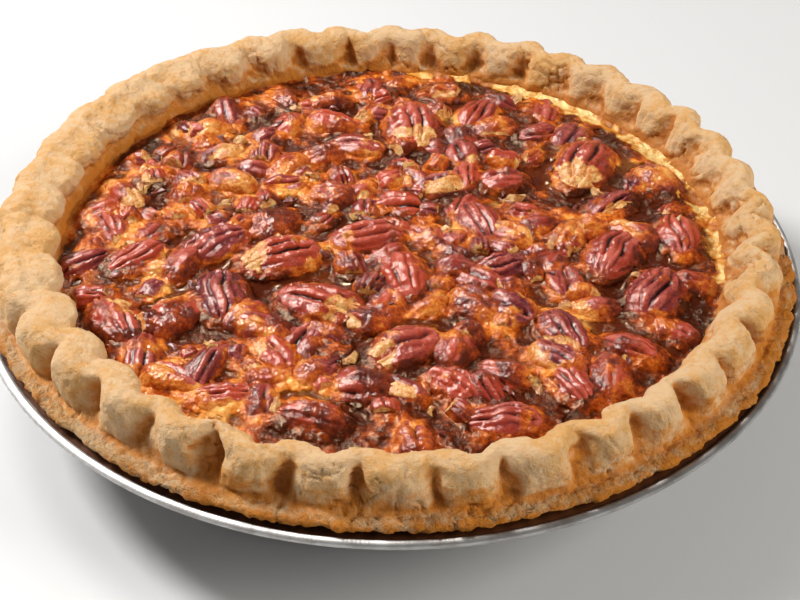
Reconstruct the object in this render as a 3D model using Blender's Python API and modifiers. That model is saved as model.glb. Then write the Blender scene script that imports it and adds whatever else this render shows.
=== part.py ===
"""A pecan pie in its foil tin: fluted pastry case, set filling and the pecans on it.

Everything is in metres, +Z up. The origin is the middle of the tin's flat underside.
Bearings run anticlockwise from +X, and -Y is the side nearest whoever is served.
"""

import math
import random

import bmesh
import bpy
from mathutils import Matrix, Vector

MM = 0.001

# The foil tin, a 23 cm (9 inch) pie size.
TIN_BASE_RADIUS = 92.0 * MM
TIN_WALL_TOP_RADIUS = 110.5 * MM
TIN_RIM_RADIUS = 122.3 * MM
TIN_DEPTH = 31.0 * MM
FOIL = 0.8 * MM
TIN_STEPS = 60

# The pastry case, whose fluted edge stands above the tin's rim.
REST_GAP = 0.5 * MM
PASTRY_FLOOR = 3.0 * MM
WELL_FLOOR_RADIUS = 87.5 * MM
WELL_RADIUS = 98.5 * MM
WELL_LEVEL = 37.7 * MM
CROWN_RADIUS = 107.5 * MM
CROWN_LEVEL = 48.2 * MM
LIP_RADIUS = 120.2 * MM
CRIMPS = 39
STEPS_PER_CRIMP = 4
CRIMP_PHASE = 0.12
CRIMP_SWING = 3.9 * MM
CRIMP_LIFT = 0.7 * MM

# The filling, a little domed, and the nuts that lie on it.
NEIGHBOUR_GAP = 0.35 * MM
FILLING_CROWN = 1.4 * MM
FILLING_STEPS = 78
NUT_WIDTH_SHARE = 0.6
NUT_HEIGHT_SHARE = 0.42
NUT_STEPS_ROUND = 12
NUT_STEPS_LONG = 6
GROOVE_DEPTH = 0.32
PIECE_COUNT = 14
PIECE_SEED = 11
SHORTEST_PIECE, LONGEST_PIECE = 10.0, 16.0

# Where each half was laid: bearing in degrees and distance from the middle in mm,
# then the turn of the nut's length from +X in degrees, and that length in mm.
HALVES = (
    (-170, 76, 45, 20),
    (-172, 53, 40, 24),
    (-146, 58, 100, 24),
    (-157, 36, 25, 27),
    (-152, 8, 18, 24),
    (-81, 22, 105, 23),
    (-119, 41, 160, 27),
    (-86, 55, 35, 24),
    (11, 27, 108, 22),
    (84, 60, 97, 30),
    (68, 74, 63, 20),
    (32, 72, 70, 30),
    (14, 69, 46, 20),
    (-9, 66, 63, 26),
    (1, 86, 95, 22),
    (-20, 81, 62, 26),
    (-24, 55, 96, 17),
    (-44, 67, 110, 22),
    (-38, 85, 150, 18),
    (-76, 71, 140, 18),
    (-70, 88, 0, 21),
    (-54, 84, 120, 17),
    (-121, 86, 8, 17),
    (-104, 85, 163, 20),
    (-119, 65, 122, 17),
    (-150, 88, 115, 22),
    (143, 42, 8, 16),
    (104, 49, 166, 18),
    (50, 75, 20, 17),
)
LARGE_PIECES = (
    (17, 42, 0, 14),
    (79, 84, 170, 16),
    (58, 57, 43, 14),
    (40, 46, 28, 18),
    (-27, 37, 13, 19),
    (-91, 77, 135, 12),
    (124, 83, 150, 11),
)


def clear_scene():
    for obj in list(bpy.data.objects):
        bpy.data.objects.remove(obj, do_unlink=True)


def finish(name, colour, roughness, metallic=0.0):
    """A Principled material of one colour."""
    made = bpy.data.materials.new(name)
    made.use_nodes = True
    shader = made.node_tree.nodes["Principled BSDF"]
    shader.inputs["Base Color"].default_value = (*colour, 1.0)
    shader.inputs["Roughness"].default_value = roughness
    shader.inputs["Metallic"].default_value = metallic
    return made


def add_object(collection, name, mesh, material):
    made = bpy.data.objects.new(name, mesh)
    mesh.materials.append(material)
    collection.objects.link(made)
    return made


def turned(collection, name, profile, steps, material):
    """A profile of (radius, height) pairs, from the top middle down its outer side, turned about Z."""
    mesh = bpy.data.meshes.new(name)
    points = [(radius, 0.0, height) for radius, height in profile]
    mesh.from_pydata(points, [(i, i + 1) for i in range(len(points) - 1)], [])
    made = add_object(collection, name, mesh, material)
    screw = made.modifiers.new("turn", "SCREW")
    screw.axis = "Z"
    screw.steps = screw.render_steps = steps
    screw.use_merge_vertices = True
    screw.merge_threshold = 0.00005
    screw.use_smooth_shade = True
    return made


def frozen(made):
    """The object with its modifiers worked into its own mesh."""
    graph = bpy.context.evaluated_depsgraph_get()
    mesh = bpy.data.meshes.new_from_object(made.evaluated_get(graph))
    made.modifiers.clear()
    made.data = mesh
    return made


def crimp_turns(bearing):
    """How many crimps lie between bearing 0 and this one: they crowd at the back and right."""
    return CRIMPS * bearing / math.tau - 0.42 * math.cos(bearing) + 0.25 * math.sin(bearing)


def bearing_of_crimp(turns):
    """The bearing at which crimp_turns reaches this count."""
    bearing = math.tau * turns / CRIMPS
    for _ in range(12):
        bearing -= (crimp_turns(bearing) - turns) * math.tau / CRIMPS
    return bearing


def unevenness(bearing):
    """A slow wander round the rim, from about -1 to 1, as hands leave it."""
    return (
        0.5 * math.sin(7 * bearing + 1.3)
        + 0.3 * math.sin(13 * bearing + 2.1)
        + 0.2 * math.sin(23 * bearing + 0.4)
    )


def inside_tin(height):
    """The pastry's radius at this height, where it stands a rest gap in from the tin's wall."""
    slope = (TIN_WALL_TOP_RADIUS - TIN_BASE_RADIUS) / TIN_DEPTH
    return TIN_BASE_RADIUS + slope * height - (FOIL + REST_GAP) * math.hypot(1, slope)


def pastry_profile():
    """(radius, height, share of the crimp's swing, share of its lift) down the case's outer side."""
    floor = FOIL + REST_GAP
    rim = TIN_DEPTH + REST_GAP
    return (
        (0.0, floor + PASTRY_FLOOR, 0, 0),
        (WELL_FLOOR_RADIUS, floor + PASTRY_FLOOR, 0, 0),
        (WELL_RADIUS, WELL_LEVEL, 0, 0),
        (WELL_RADIUS + 2.6 * MM, WELL_LEVEL + 5.6 * MM, 0.6, 0),
        (CROWN_RADIUS - 3.4 * MM, CROWN_LEVEL - 1.4 * MM, 0.9, 0.6),
        (CROWN_RADIUS, CROWN_LEVEL, 1.0, 1.0),
        (CROWN_RADIUS + 3.8 * MM, CROWN_LEVEL - 1.8 * MM, 1.0, 0.6),
        (CROWN_RADIUS + 6.2 * MM, CROWN_LEVEL - 7.2 * MM, 1.1, 0),
        (LIP_RADIUS - 4.4 * MM, rim + 5.4 * MM, 0.4, 0),
        (LIP_RADIUS - 1.4 * MM, rim + 4.2 * MM, 0, 0),
        (LIP_RADIUS, rim + 2.4 * MM, 0, 0),
        (LIP_RADIUS - 1.6 * MM, rim + 1.2 * MM, 0, 0),
        (TIN_WALL_TOP_RADIUS - 1.4 * MM, rim, 0, 0),
        (inside_tin(TIN_DEPTH - 3.4 * MM), TIN_DEPTH - 3.4 * MM, 0, 0),
        (inside_tin(floor), floor, 0, 0),
        (0.0, floor, 0, 0),
    )


def build_pastry_case(collection):
    """The case is turned, then each column of its points is pushed out, in and up by the crimps."""
    profile = pastry_profile()
    outline = [(radius, height) for radius, height, _, _ in profile]
    steps = CRIMPS * STEPS_PER_CRIMP
    pastry = finish("baked_pastry", (0.66, 0.40, 0.19), 0.75)
    made = frozen(turned(collection, "pastry_case", outline, steps, pastry))
    for vertex in made.data.vertices:
        radius, height = math.hypot(vertex.co.x, vertex.co.y), vertex.co.z
        column = round(math.atan2(vertex.co.y, vertex.co.x) * steps / math.tau)
        near = min(profile, key=lambda p: abs(p[0] - radius) + abs(p[1] - height))
        bearing = bearing_of_crimp(column / STEPS_PER_CRIMP)
        wave = math.cos(math.tau * (column / STEPS_PER_CRIMP - CRIMP_PHASE))
        hand = unevenness(bearing)
        if near[2] > 0:
            radius += near[2] * CRIMP_SWING * wave * (1 + 0.25 * hand)
        elif radius > TIN_WALL_TOP_RADIUS + MM:
            radius += 0.6 * MM * hand
        height += near[3] * CRIMP_LIFT * (wave + hand)
        vertex.co = (radius * math.cos(bearing), radius * math.sin(bearing), height)
    return made


def build_foil_tin(collection):
    """The tin's sheet is one open profile, turned and given a thickness: floor, wall, rim, rolled edge."""
    foil = finish("bare_foil", (0.78, 0.78, 0.79), 0.3, metallic=1.0)
    middle = FOIL / 2
    profile = (
        (0.0, middle),
        (TIN_BASE_RADIUS - middle, middle),
        (TIN_WALL_TOP_RADIUS - 1.0 * MM, TIN_DEPTH - 1.2 * MM),
        (TIN_WALL_TOP_RADIUS + 0.8 * MM, TIN_DEPTH - middle),
        (TIN_RIM_RADIUS - 2.4 * MM, TIN_DEPTH - middle),
        (TIN_RIM_RADIUS - 0.9 * MM, TIN_DEPTH + 0.7 * MM),
        (TIN_RIM_RADIUS - middle, TIN_DEPTH - 1.9 * MM),
    )
    made = turned(collection, "foil_tin", profile, TIN_STEPS, foil)
    wall = made.modifiers.new("foil", "SOLIDIFY")
    wall.thickness = FOIL
    wall.offset = 0.0
    wall.use_even_offset = True
    return made


def filling_height(radius):
    return WELL_LEVEL - 0.3 * MM + FILLING_CROWN * (1 - (radius / WELL_RADIUS) ** 2)


def build_filling(collection):
    """The filling is solid to its floor and stands a hair clear of the case that holds it."""
    custard = finish("baked_filling", (0.36, 0.12, 0.04), 0.35)
    edge = WELL_RADIUS - NEIGHBOUR_GAP
    floor = FOIL + REST_GAP + PASTRY_FLOOR + NEIGHBOUR_GAP
    rings = [edge * share for share in (0.0, 0.45, 0.75, 0.97)]
    profile = [(radius, filling_height(radius)) for radius in rings]
    profile += [
        (edge - 0.4 * MM, filling_height(edge) - 0.6 * MM),
        (WELL_FLOOR_RADIUS - NEIGHBOUR_GAP, floor),
        (0.0, floor),
    ]
    return turned(collection, "filling", profile, FILLING_STEPS, custard)


def pecan_mesh(name, length, break_share=None):
    """Half a pecan lying on its flat side, its length along X, or a piece broken off past break_share."""
    width, height = NUT_WIDTH_SHARE * length, NUT_WIDTH_SHARE * NUT_HEIGHT_SHARE * length
    body = bmesh.new()
    bmesh.ops.create_uvsphere(
        body, u_segments=NUT_STEPS_ROUND, v_segments=NUT_STEPS_LONG, radius=1.0
    )
    bmesh.ops.rotate(body, verts=body.verts, matrix=Matrix.Rotation(math.pi / 2, 3, "Y"))
    cut_off(body, Vector((0, 0, 0)), Vector((0, 0, -1)))
    for vertex in body.verts:
        along, across, up = vertex.co
        girth = (1 - abs(along) ** 2.6) ** 0.5
        girth /= max(math.sqrt(1 - min(along * along, 0.999)), 0.05)
        side = math.degrees(math.atan2(up, abs(across)))
        groove = GROOVE_DEPTH if abs(side - 60) < 5 else 0.0
        vertex.co = (
            along * length / 2,
            across * girth * width / 2 * (1 - 0.12 * along),
            up * girth * height * (1 - groove),
        )
    if break_share is not None:
        cut_off(body, Vector((break_share * length, 0, 0)), Vector((1, 0.35, 0.25)))
    bmesh.ops.recalc_face_normals(body, faces=body.faces)
    mesh = bpy.data.meshes.new(name)
    body.to_mesh(mesh)
    body.free()
    mesh.shade_smooth()
    mesh.set_sharp_from_angle(angle=math.radians(50))
    return mesh


def cut_off(body, point, normal):
    """Cuts away what lies past the plane and closes the cut with one flat face."""
    cut = bmesh.ops.bisect_plane(
        body,
        geom=[*body.verts, *body.edges, *body.faces],
        dist=1e-7,
        plane_co=point,
        plane_no=normal,
        clear_outer=True,
    )
    edges = [e for e in cut["geom_cut"] if isinstance(e, bmesh.types.BMEdge)]
    bmesh.ops.holes_fill(body, edges=[e for e in edges if e.is_boundary])


def lay_nut(made, x, y, turn):
    """Lays the nut on the filling at (x, y), flat on the dome there, its length turned from +X."""
    radius = math.hypot(x, y)
    up = Vector((2 * FILLING_CROWN * x, 2 * FILLING_CROWN * y, WELL_RADIUS**2)).normalized()
    tilt = Vector((0, 0, 1)).rotation_difference(up).to_matrix().to_4x4()
    made.matrix_world = (
        Matrix.Translation((x, y, filling_height(radius) + NEIGHBOUR_GAP))
        @ tilt
        @ Matrix.Rotation(turn, 4, "Z")
    )


def spots_of(x, y, turn, length):
    """Circles, as (x, y, radius), that cover a nut's footprint."""
    reach, radius = 0.27 * length, 0.5 * NUT_WIDTH_SHARE * length
    return [
        (x + side * reach * math.cos(turn), y + side * reach * math.sin(turn), radius)
        for side in (-1, 0, 1)
    ]


def clear_of(spots, taken, gap):
    return all(
        math.hypot(a[0] - b[0], a[1] - b[1]) > a[2] + b[2] + gap for a in spots for b in taken
    )


def small_pieces(taken):
    """Small broken pieces, dropped at random wherever they clear the nuts already laid."""
    chance = random.Random(PIECE_SEED)
    found = []
    while len(found) < PIECE_COUNT:
        bearing = chance.uniform(0, math.tau)
        distance = 88.0 * MM * math.sqrt(chance.random())
        length = chance.uniform(SHORTEST_PIECE, LONGEST_PIECE) * MM
        turn = chance.uniform(0, math.pi)
        x, y = distance * math.cos(bearing), distance * math.sin(bearing)
        spots = spots_of(x, y, turn, length)
        if clear_of(spots, taken, 1.0 * MM):
            taken.extend(spots)
            found.append((x, y, turn, length))
    return found


def placed(rows):
    """(x, y, turn, length) in metres and radians for rows of bearing, distance, turn and length."""
    for bearing, distance, turn, length in rows:
        angle = math.radians(bearing)
        x, y = distance * MM * math.cos(angle), distance * MM * math.sin(angle)
        yield x, y, math.radians(turn), length * MM


def build_pecans(collection):
    skin = finish("roasted_pecan", (0.26, 0.06, 0.035), 0.4)
    halves = list(placed(HALVES))
    pieces = list(placed(LARGE_PIECES))
    taken = [spot for row in halves + pieces for spot in spots_of(*row)]
    pieces += small_pieces(taken)
    for number, (x, y, turn, length) in enumerate(halves, 1):
        name = f"pecan_half_{number:02d}"
        lay_nut(add_object(collection, name, pecan_mesh(name, length), skin), x, y, turn)
    for number, (x, y, turn, length) in enumerate(pieces, 1):
        name = f"pecan_piece_{number:02d}"
        break_share = 0.1 + 0.25 * (number % 3) / 2
        mesh = pecan_mesh(name, length, break_share)
        lay_nut(add_object(collection, name, mesh, skin), x, y, turn)


def main():
    clear_scene()
    collection = bpy.data.collections.new("pecan_pie")
    bpy.context.scene.collection.children.link(collection)
    build_foil_tin(collection)
    build_pastry_case(collection)
    build_filling(collection)
    build_pecans(collection)


main()
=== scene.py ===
"""The looks of a pecan pie in its foil tin.

Sizes are in millimetres while a piece is worked out and in metres once it is a mesh.
+Z is up, the origin is under the middle of the tin, and -Y is the side nearest the eater.
"""

import itertools
import logging
import math
from dataclasses import dataclass, field
from enum import Enum
from typing import Any, Sequence

import bpy
import numpy as np
from mathutils import Matrix, Vector


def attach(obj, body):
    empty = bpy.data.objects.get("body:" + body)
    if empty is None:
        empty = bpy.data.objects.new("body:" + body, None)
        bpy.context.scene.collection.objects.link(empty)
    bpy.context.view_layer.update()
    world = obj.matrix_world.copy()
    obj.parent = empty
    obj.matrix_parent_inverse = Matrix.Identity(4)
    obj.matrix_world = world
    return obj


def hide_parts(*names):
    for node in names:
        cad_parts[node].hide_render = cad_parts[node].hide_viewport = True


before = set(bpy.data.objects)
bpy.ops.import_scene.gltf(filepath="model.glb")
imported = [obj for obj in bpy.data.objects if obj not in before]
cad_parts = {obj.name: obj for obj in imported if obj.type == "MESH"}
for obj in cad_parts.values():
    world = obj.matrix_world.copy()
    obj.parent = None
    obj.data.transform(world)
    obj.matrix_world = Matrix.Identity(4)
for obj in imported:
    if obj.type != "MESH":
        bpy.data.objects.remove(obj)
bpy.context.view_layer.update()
BODY = "root"
MM = 0.001
LOG = logging.getLogger("pecan_pie")

Array = np.ndarray
Colour = tuple[float, float, float]


def srgb(red: int, green: int, blue: int) -> Colour:
    """A colour given in display values from 0 to 255, as the linear values that shaders take.

    Args:
        red: Red, 0 to 255.
        green: Green, 0 to 255.
        blue: Blue, 0 to 255.

    Returns:
        The linear colour.
    """
    parts = [value / 255 for value in (red, green, blue)]
    linear = [v / 12.92 if v <= 0.04045 else ((v + 0.055) / 1.055) ** 2.4 for v in parts]
    return linear[0], linear[1], linear[2]


def step(low: float, high: float, value: Array) -> Array:
    """Rises smoothly from 0 at low to 1 at high.

    Args:
        low: Where the rise starts.
        high: Where it ends. It may be below low, and the step then falls.
        value: What is measured.

    Returns:
        The step at each value.
    """
    share = np.clip((value - low) / (high - low), 0.0, 1.0)
    return share * share * (3 - 2 * share)


@dataclass(frozen=True)
class Grain:
    """Seeded lumps and cells at points in millimetres."""

    seed: int

    def chance(self, cell: Array, salt: int = 0) -> Array:
        """A number from 0 to 1 for each lattice cell.

        Args:
            cell: Whole numbers, three to a cell.
            salt: Another draw for the same cell.

        Returns:
            The numbers.
        """
        mix = cell[..., 0] * 73856093 ^ cell[..., 1] * 19349663 ^ cell[..., 2] * 83492791
        mix = (mix ^ (self.seed * 2654435761 + salt * 97531)) & 0xFFFFFFFF
        mix = ((mix ^ (mix >> 15)) * 2246822519) & 0xFFFFFFFF
        mix = ((mix ^ (mix >> 13)) * 3266489917) & 0xFFFFFFFF
        return ((mix ^ (mix >> 16)) & 0xFFFFFF) / 0xFFFFFF

    def lumps(self, points: Array, size: float, salt: int = 0) -> Array:
        """Soft lumps, from -1 to 1.

        Args:
            points: Places, three numbers each.
            size: How far apart the lumps are.
            salt: Another pattern of the same kind.

        Returns:
            The height of the lumps at each place.
        """
        place = points / size
        base = np.floor(place).astype(np.int64)
        part = place - base
        part = part**3 * (part * (part * 6 - 15) + 10)
        total = np.zeros(points.shape[:-1])
        for corner in itertools.product((0, 1), repeat=3):
            near = np.where(np.array(corner), part, 1 - part)
            total += near.prod(axis=-1) * self.chance(base + np.array(corner), salt)
        return 2 * total - 1

    def layers(self, points: Array, size: float, count: int = 3, salt: int = 0) -> Array:
        """Lumps on lumps, each layer half the size and strength of the last.

        Args:
            points: Places, three numbers each.
            size: The size of the largest lumps.
            count: How many layers there are.
            salt: Another pattern of the same kind.

        Returns:
            The height, from about -1 to 1.
        """
        total = np.zeros(points.shape[:-1])
        for layer in range(count):
            total += self.lumps(points, size / 2**layer, salt + 17 * layer) / 2**layer
        return total / (2 - 0.5 ** (count - 1))

    def cells(self, points: Array, size: float, salt: int = 0) -> Array:
        """How far each place is from the middle of its nearest cell.

        Args:
            points: Places, three numbers each.
            size: The cells' size.
            salt: Another pattern of the same kind.

        Returns:
            The distance, in cell sizes.
        """
        place = points / size
        base = np.floor(place).astype(np.int64)
        nearest = np.full(points.shape[:-1], 9.0)
        for corner in itertools.product((-1, 0, 1), repeat=3):
            cell = base + np.array(corner)
            middle = cell + np.stack([self.chance(cell, salt + k) for k in (1, 2, 3)], axis=-1)
            nearest = np.minimum(nearest, ((place - middle) ** 2).sum(axis=-1))
        return np.sqrt(nearest)


def flat_points(x: Array, y: Array) -> Array:
    """Points of three numbers from x and y at height 0."""
    return np.stack([x, y, np.zeros_like(x)], axis=-1)


def round_points(radius: Any, bearing: Array, height: Array) -> Array:
    """Points at a radius, a bearing and a height about the pie's axis."""
    return np.stack([radius * np.cos(bearing), radius * np.sin(bearing), height], axis=-1)


def smooth(values: Array, count: int, rounds: int, modes: Sequence[str]) -> Array:
    """Smooths values that lie on a grid, by running means along its two axes.

    Args:
        values: The values. Their first two axes are the grid's.
        count: How many neighbours to each side a mean takes in.
        rounds: How many times the means are taken.
        modes: How each axis goes on past its ends.

    Returns:
        The smoothed values.
    """
    width = 2 * count + 1
    for _ in range(rounds):
        for axis, mode in enumerate(modes):
            pads = [(count + 1, count) if k == axis else (0, 0) for k in range(values.ndim)]
            sums = np.cumsum(np.pad(values, pads, mode=mode), axis=axis)
            far = np.take(sums, range(width, sums.shape[axis]), axis=axis)
            near = np.take(sums, range(sums.shape[axis] - width), axis=axis)
            values = (far - near) / width
    return values


def add_marks(mesh: bpy.types.Mesh, marks: dict[str, Array]) -> None:
    """Gives a mesh its marks, each of them one number a point."""
    for mark, values in marks.items():
        layer = mesh.attributes.new(mark, "FLOAT", "POINT")
        layer.data.foreach_set("value", np.asarray(values, np.float32).ravel())


def work_in(made: bpy.types.Object, modifier: bpy.types.Modifier) -> bpy.types.Mesh:
    """Works an object's modifier into its mesh.

    Args:
        made: The object.
        modifier: Its modifier, which is then gone.

    Returns:
        The object's new mesh.
    """
    graph = bpy.context.evaluated_depsgraph_get()
    mesh = bpy.data.meshes.new_from_object(made.evaluated_get(graph))
    made.modifiers.remove(modifier)
    made.data = mesh
    return mesh


def mesh_object(
    name: str, points: Array, quads: Array, triangles: Array, marks: dict[str, Array]
) -> bpy.types.Object:
    """A smooth mesh object with one number a point for each mark.

    Args:
        name: The object's name.
        points: Its points, in millimetres.
        quads: Its four-sided faces.
        triangles: Its three-sided faces.
        marks: Attributes that its finish reads.

    Returns:
        The object, linked to the scene.
    """
    mesh = bpy.data.meshes.new(name)
    mesh.vertices.add(len(points))
    mesh.vertices.foreach_set("co", (points * MM).astype(np.float32).ravel())
    corners = np.concatenate([quads.ravel(), triangles.ravel()]).astype(np.int32)
    sides = np.concatenate([np.full(len(quads), 4), np.full(len(triangles), 3)])
    starts = np.concatenate([[0], np.cumsum(sides)[:-1]]).astype(np.int32)
    mesh.loops.add(len(corners))
    mesh.loops.foreach_set("vertex_index", corners)
    mesh.polygons.add(len(sides))
    mesh.polygons.foreach_set("loop_start", starts)
    mesh.update(calc_edges=True)
    mesh.validate()
    mesh.shade_smooth()
    add_marks(mesh, marks)
    made = bpy.data.objects.new(name, mesh)
    bpy.context.scene.collection.objects.link(made)
    return made


@dataclass
class Body:
    """A closed body's points, faces and marks before it becomes an object."""

    points: Array
    quads: Array
    triangles: Array
    marks: dict[str, Array]

    @classmethod
    def lathe(cls, rings: Array, first: Array, last: Array, marks: dict[str, Array]) -> "Body":
        """A body of rings, one inside the next, each end shut at one point.

        Args:
            rings: Points, as rings by columns by three.
            first: The point that shuts the first ring.
            last: The point that shuts the last ring.
            marks: Attributes, as rings by columns.

        Returns:
            The body.
        """
        count, columns = rings.shape[:2]
        points = np.concatenate([rings.reshape(-1, 3), first[None], last[None]])
        index = np.arange(count * columns).reshape(count, columns)
        beside = np.roll(index, -1, axis=1)
        quads = np.stack([index[:-1], index[1:], beside[1:], beside[:-1]], axis=-1).reshape(-1, 4)
        start = np.full(columns, count * columns)
        fans = [
            np.stack([start, index[0], beside[0]], axis=-1),
            np.stack([start + 1, beside[-1], index[-1]], axis=-1),
        ]
        ends = {
            mark: np.concatenate([value.ravel(), [value[0].mean()], [value[-1].mean()]])
            for mark, value in marks.items()
        }
        return cls(points, quads, np.concatenate(fans), ends)

    @classmethod
    def join(cls, bodies: Sequence["Body"]) -> "Body":
        """Several bodies with the same marks as one."""
        starts = np.cumsum([0] + [len(body.points) for body in bodies[:-1]])
        return cls(
            np.concatenate([body.points for body in bodies]),
            np.concatenate([body.quads + start for body, start in zip(bodies, starts)]),
            np.concatenate([body.triangles + start for body, start in zip(bodies, starts)]),
            {mark: np.concatenate([body.marks[mark] for body in bodies]) for mark in bodies[0].marks},
        )

    def make(self, name: str, finish: bpy.types.Material) -> bpy.types.Object:
        """The body as a smooth object in its finish."""
        made = mesh_object(name, self.points, self.quads, self.triangles, self.marks)
        made.data.materials.append(finish)
        return made


def settle(piece: bpy.types.Object, slot: str, *nodes: str) -> None:
    """Puts a finished piece on the pie's body, in place of the plain solids it stands for.

    Args:
        piece: The finished piece.
        slot: Not used.
        nodes: The plain solids that it replaces.
    """
    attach(piece, BODY)
    if nodes:
        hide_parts(*nodes)
    mesh = piece.data
    count = sum(len(face.vertices) - 2 for face in mesh.polygons)
    LOG.info("%s: %d triangles, for %s", piece.name, count, ", ".join(nodes) or "trim")


class Wire:
    """An output socket. Python's operators on it add Math nodes."""

    def __init__(self, bench: "Bench", socket: bpy.types.NodeSocket) -> None:
        """Keeps the socket and the bench whose tree it belongs to."""
        self.bench = bench
        self.socket = socket

    def maths(self, operation: str, *others: Any) -> "Wire":
        """A Math node on this wire and the others."""
        values = {number: value for number, value in enumerate((self, *others))}
        return self.bench.add("ShaderNodeMath", {"operation": operation}, values)

    def __add__(self, other: Any) -> "Wire":
        """The sum."""
        return self.maths("ADD", other)

    __radd__ = __add__

    def __mul__(self, other: Any) -> "Wire":
        """The product."""
        return self.maths("MULTIPLY", other)

    __rmul__ = __mul__

    def __sub__(self, other: Any) -> "Wire":
        """The difference."""
        return self.maths("SUBTRACT", other)

    def __rsub__(self, other: Any) -> "Wire":
        """The difference, with this wire taken away."""
        return self * -1.0 + other

    def __truediv__(self, other: Any) -> "Wire":
        """The quotient."""
        return self.maths("DIVIDE", other)

    def __pow__(self, other: Any) -> "Wire":
        """The power."""
        return self.maths("POWER", other)

    def clamp(self) -> "Wire":
        """The value held between 0 and 1."""
        return self.maths("MAXIMUM", 0.0).maths("MINIMUM", 1.0)

    def rise(self, low: float, high: float) -> "Wire":
        """A smooth step from 0 at low to 1 at high."""
        settings = {"interpolation_type": "SMOOTHSTEP"}
        values = {"Value": self, "From Min": low, "From Max": high}
        return self.bench.add("ShaderNodeMapRange", settings, values)


class Bench:
    """A node tree and the few methods that add to it."""

    def __init__(self, tree: bpy.types.NodeTree) -> None:
        """Keeps the tree."""
        self.tree = tree

    def add(
        self,
        kind: str,
        settings: dict[str, Any] | None = None,
        values: dict[Any, Any] | None = None,
        out: int | str = 0,
    ) -> Wire:
        """A node of any kind.

        Args:
            kind: The node's type.
            settings: Its settings, which are set first. "stops" are a colour ramp's.
            values: Numbers or wires for its sockets, by name or number.
            out: Which output is wanted.

        Returns:
            The wire from that output.
        """
        node = self.tree.nodes.new(kind)
        for name, setting in (settings or {}).items():
            if name == "stops":
                self.set_stops(node.color_ramp, setting)
            else:
                setattr(node, name, setting)
        for name, value in (values or {}).items():
            if isinstance(value, Wire):
                self.tree.links.new(value.socket, node.inputs[name])
            else:
                node.inputs[name].default_value = value
        return Wire(self, node.outputs[out])

    def parts(self, vector: Wire) -> list[Wire]:
        """The x, y and z of a vector."""
        split = self.add("ShaderNodeSeparateXYZ", None, {0: vector})
        return [Wire(self, socket) for socket in split.socket.node.outputs]

    @staticmethod
    def set_stops(ramp: bpy.types.ColorRamp, stops: Sequence[tuple[float, Colour]]) -> None:
        """Gives a ramp its stops, as (place, colour) pairs."""
        while len(ramp.elements) < len(stops):
            ramp.elements.new(0.5)
        for element, (place, colour) in zip(ramp.elements, stops):
            element.position = place
            element.color = (*colour, 1.0)


class Dress(Bench):
    """A material's tree, with the coordinates, noises and mixes that finishes share."""

    def __init__(self, name: str) -> None:
        """Starts a material with one Principled shader."""
        self.material = bpy.data.materials.new(name)
        self.material.use_nodes = True
        super().__init__(self.material.node_tree)
        self.shader = self.tree.nodes["Principled BSDF"]
        self.place = self.add("ShaderNodeTexCoord", out="Object")

    def noise(self, size_mm: float, detail: float = 2.0, rough: float = 0.5) -> Wire:
        """Noise whose lumps are about size_mm across."""
        scale = 1 / MM / size_mm
        values = {"Vector": self.place, "Scale": scale, "Detail": detail, "Roughness": rough}
        return self.add("ShaderNodeTexNoise", None, values)

    def cells(self, size_mm: float, feature: str = "F1") -> Wire:
        """The distance from the middles of cells about size_mm across."""
        values = {"Vector": self.place, "Scale": 1 / MM / size_mm}
        return self.add("ShaderNodeTexVoronoi", {"feature": feature}, values)

    def mark(self, name: str) -> Wire:
        """A number that the mesh carries at each point."""
        return self.add("ShaderNodeAttribute", {"attribute_name": name}, out="Fac")

    def blend(self, share: Wire, first: Any, second: Any) -> Wire:
        """Two colours mixed: first where share is 0 and second where it is 1."""
        settings = {"data_type": "RGBA", "clamp_factor": True}
        colours = [c if isinstance(c, Wire) else (*c, 1.0) for c in (first, second)]
        return self.add("ShaderNodeMix", settings, {0: share, 6: colours[0], 7: colours[1]}, 2)

    def bump(self, height: Wire, depth_mm: float, under: Wire | None = None) -> Wire:
        """Relief depth_mm deep where height goes from 0 to 1, laid on the relief under it."""
        values = {"Height": height, "Distance": depth_mm * MM, "Strength": 1.0}
        if under is not None:
            values["Normal"] = under
        return self.add("ShaderNodeBump", None, values)

    def paint(self, ground: Any, *coats: tuple[Wire, Any]) -> Wire:
        """Lays coats, each a share and a colour, one over the other on a ground colour."""
        for share, colour in coats:
            ground = self.blend(share, ground, colour)
        return ground

    def emboss(self, *layers: tuple[Wire, float]) -> Wire:
        """Lays reliefs, each a height and a depth in millimetres, one on the other."""
        relief = self.bump(*layers[0])
        for height, depth_mm in layers[1:]:
            relief = self.bump(height, depth_mm, relief)
        return relief

    def finish(self, constants: dict[str, Any], wires: dict[str, Wire]) -> bpy.types.Material:
        """Sets the shader's constants, links its wires and hands over the material."""
        for name, value in constants.items():
            self.shader.inputs[name].default_value = value
        for name, wire in wires.items():
            self.tree.links.new(wire.socket, self.shader.inputs[name])
        return self.material


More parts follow.
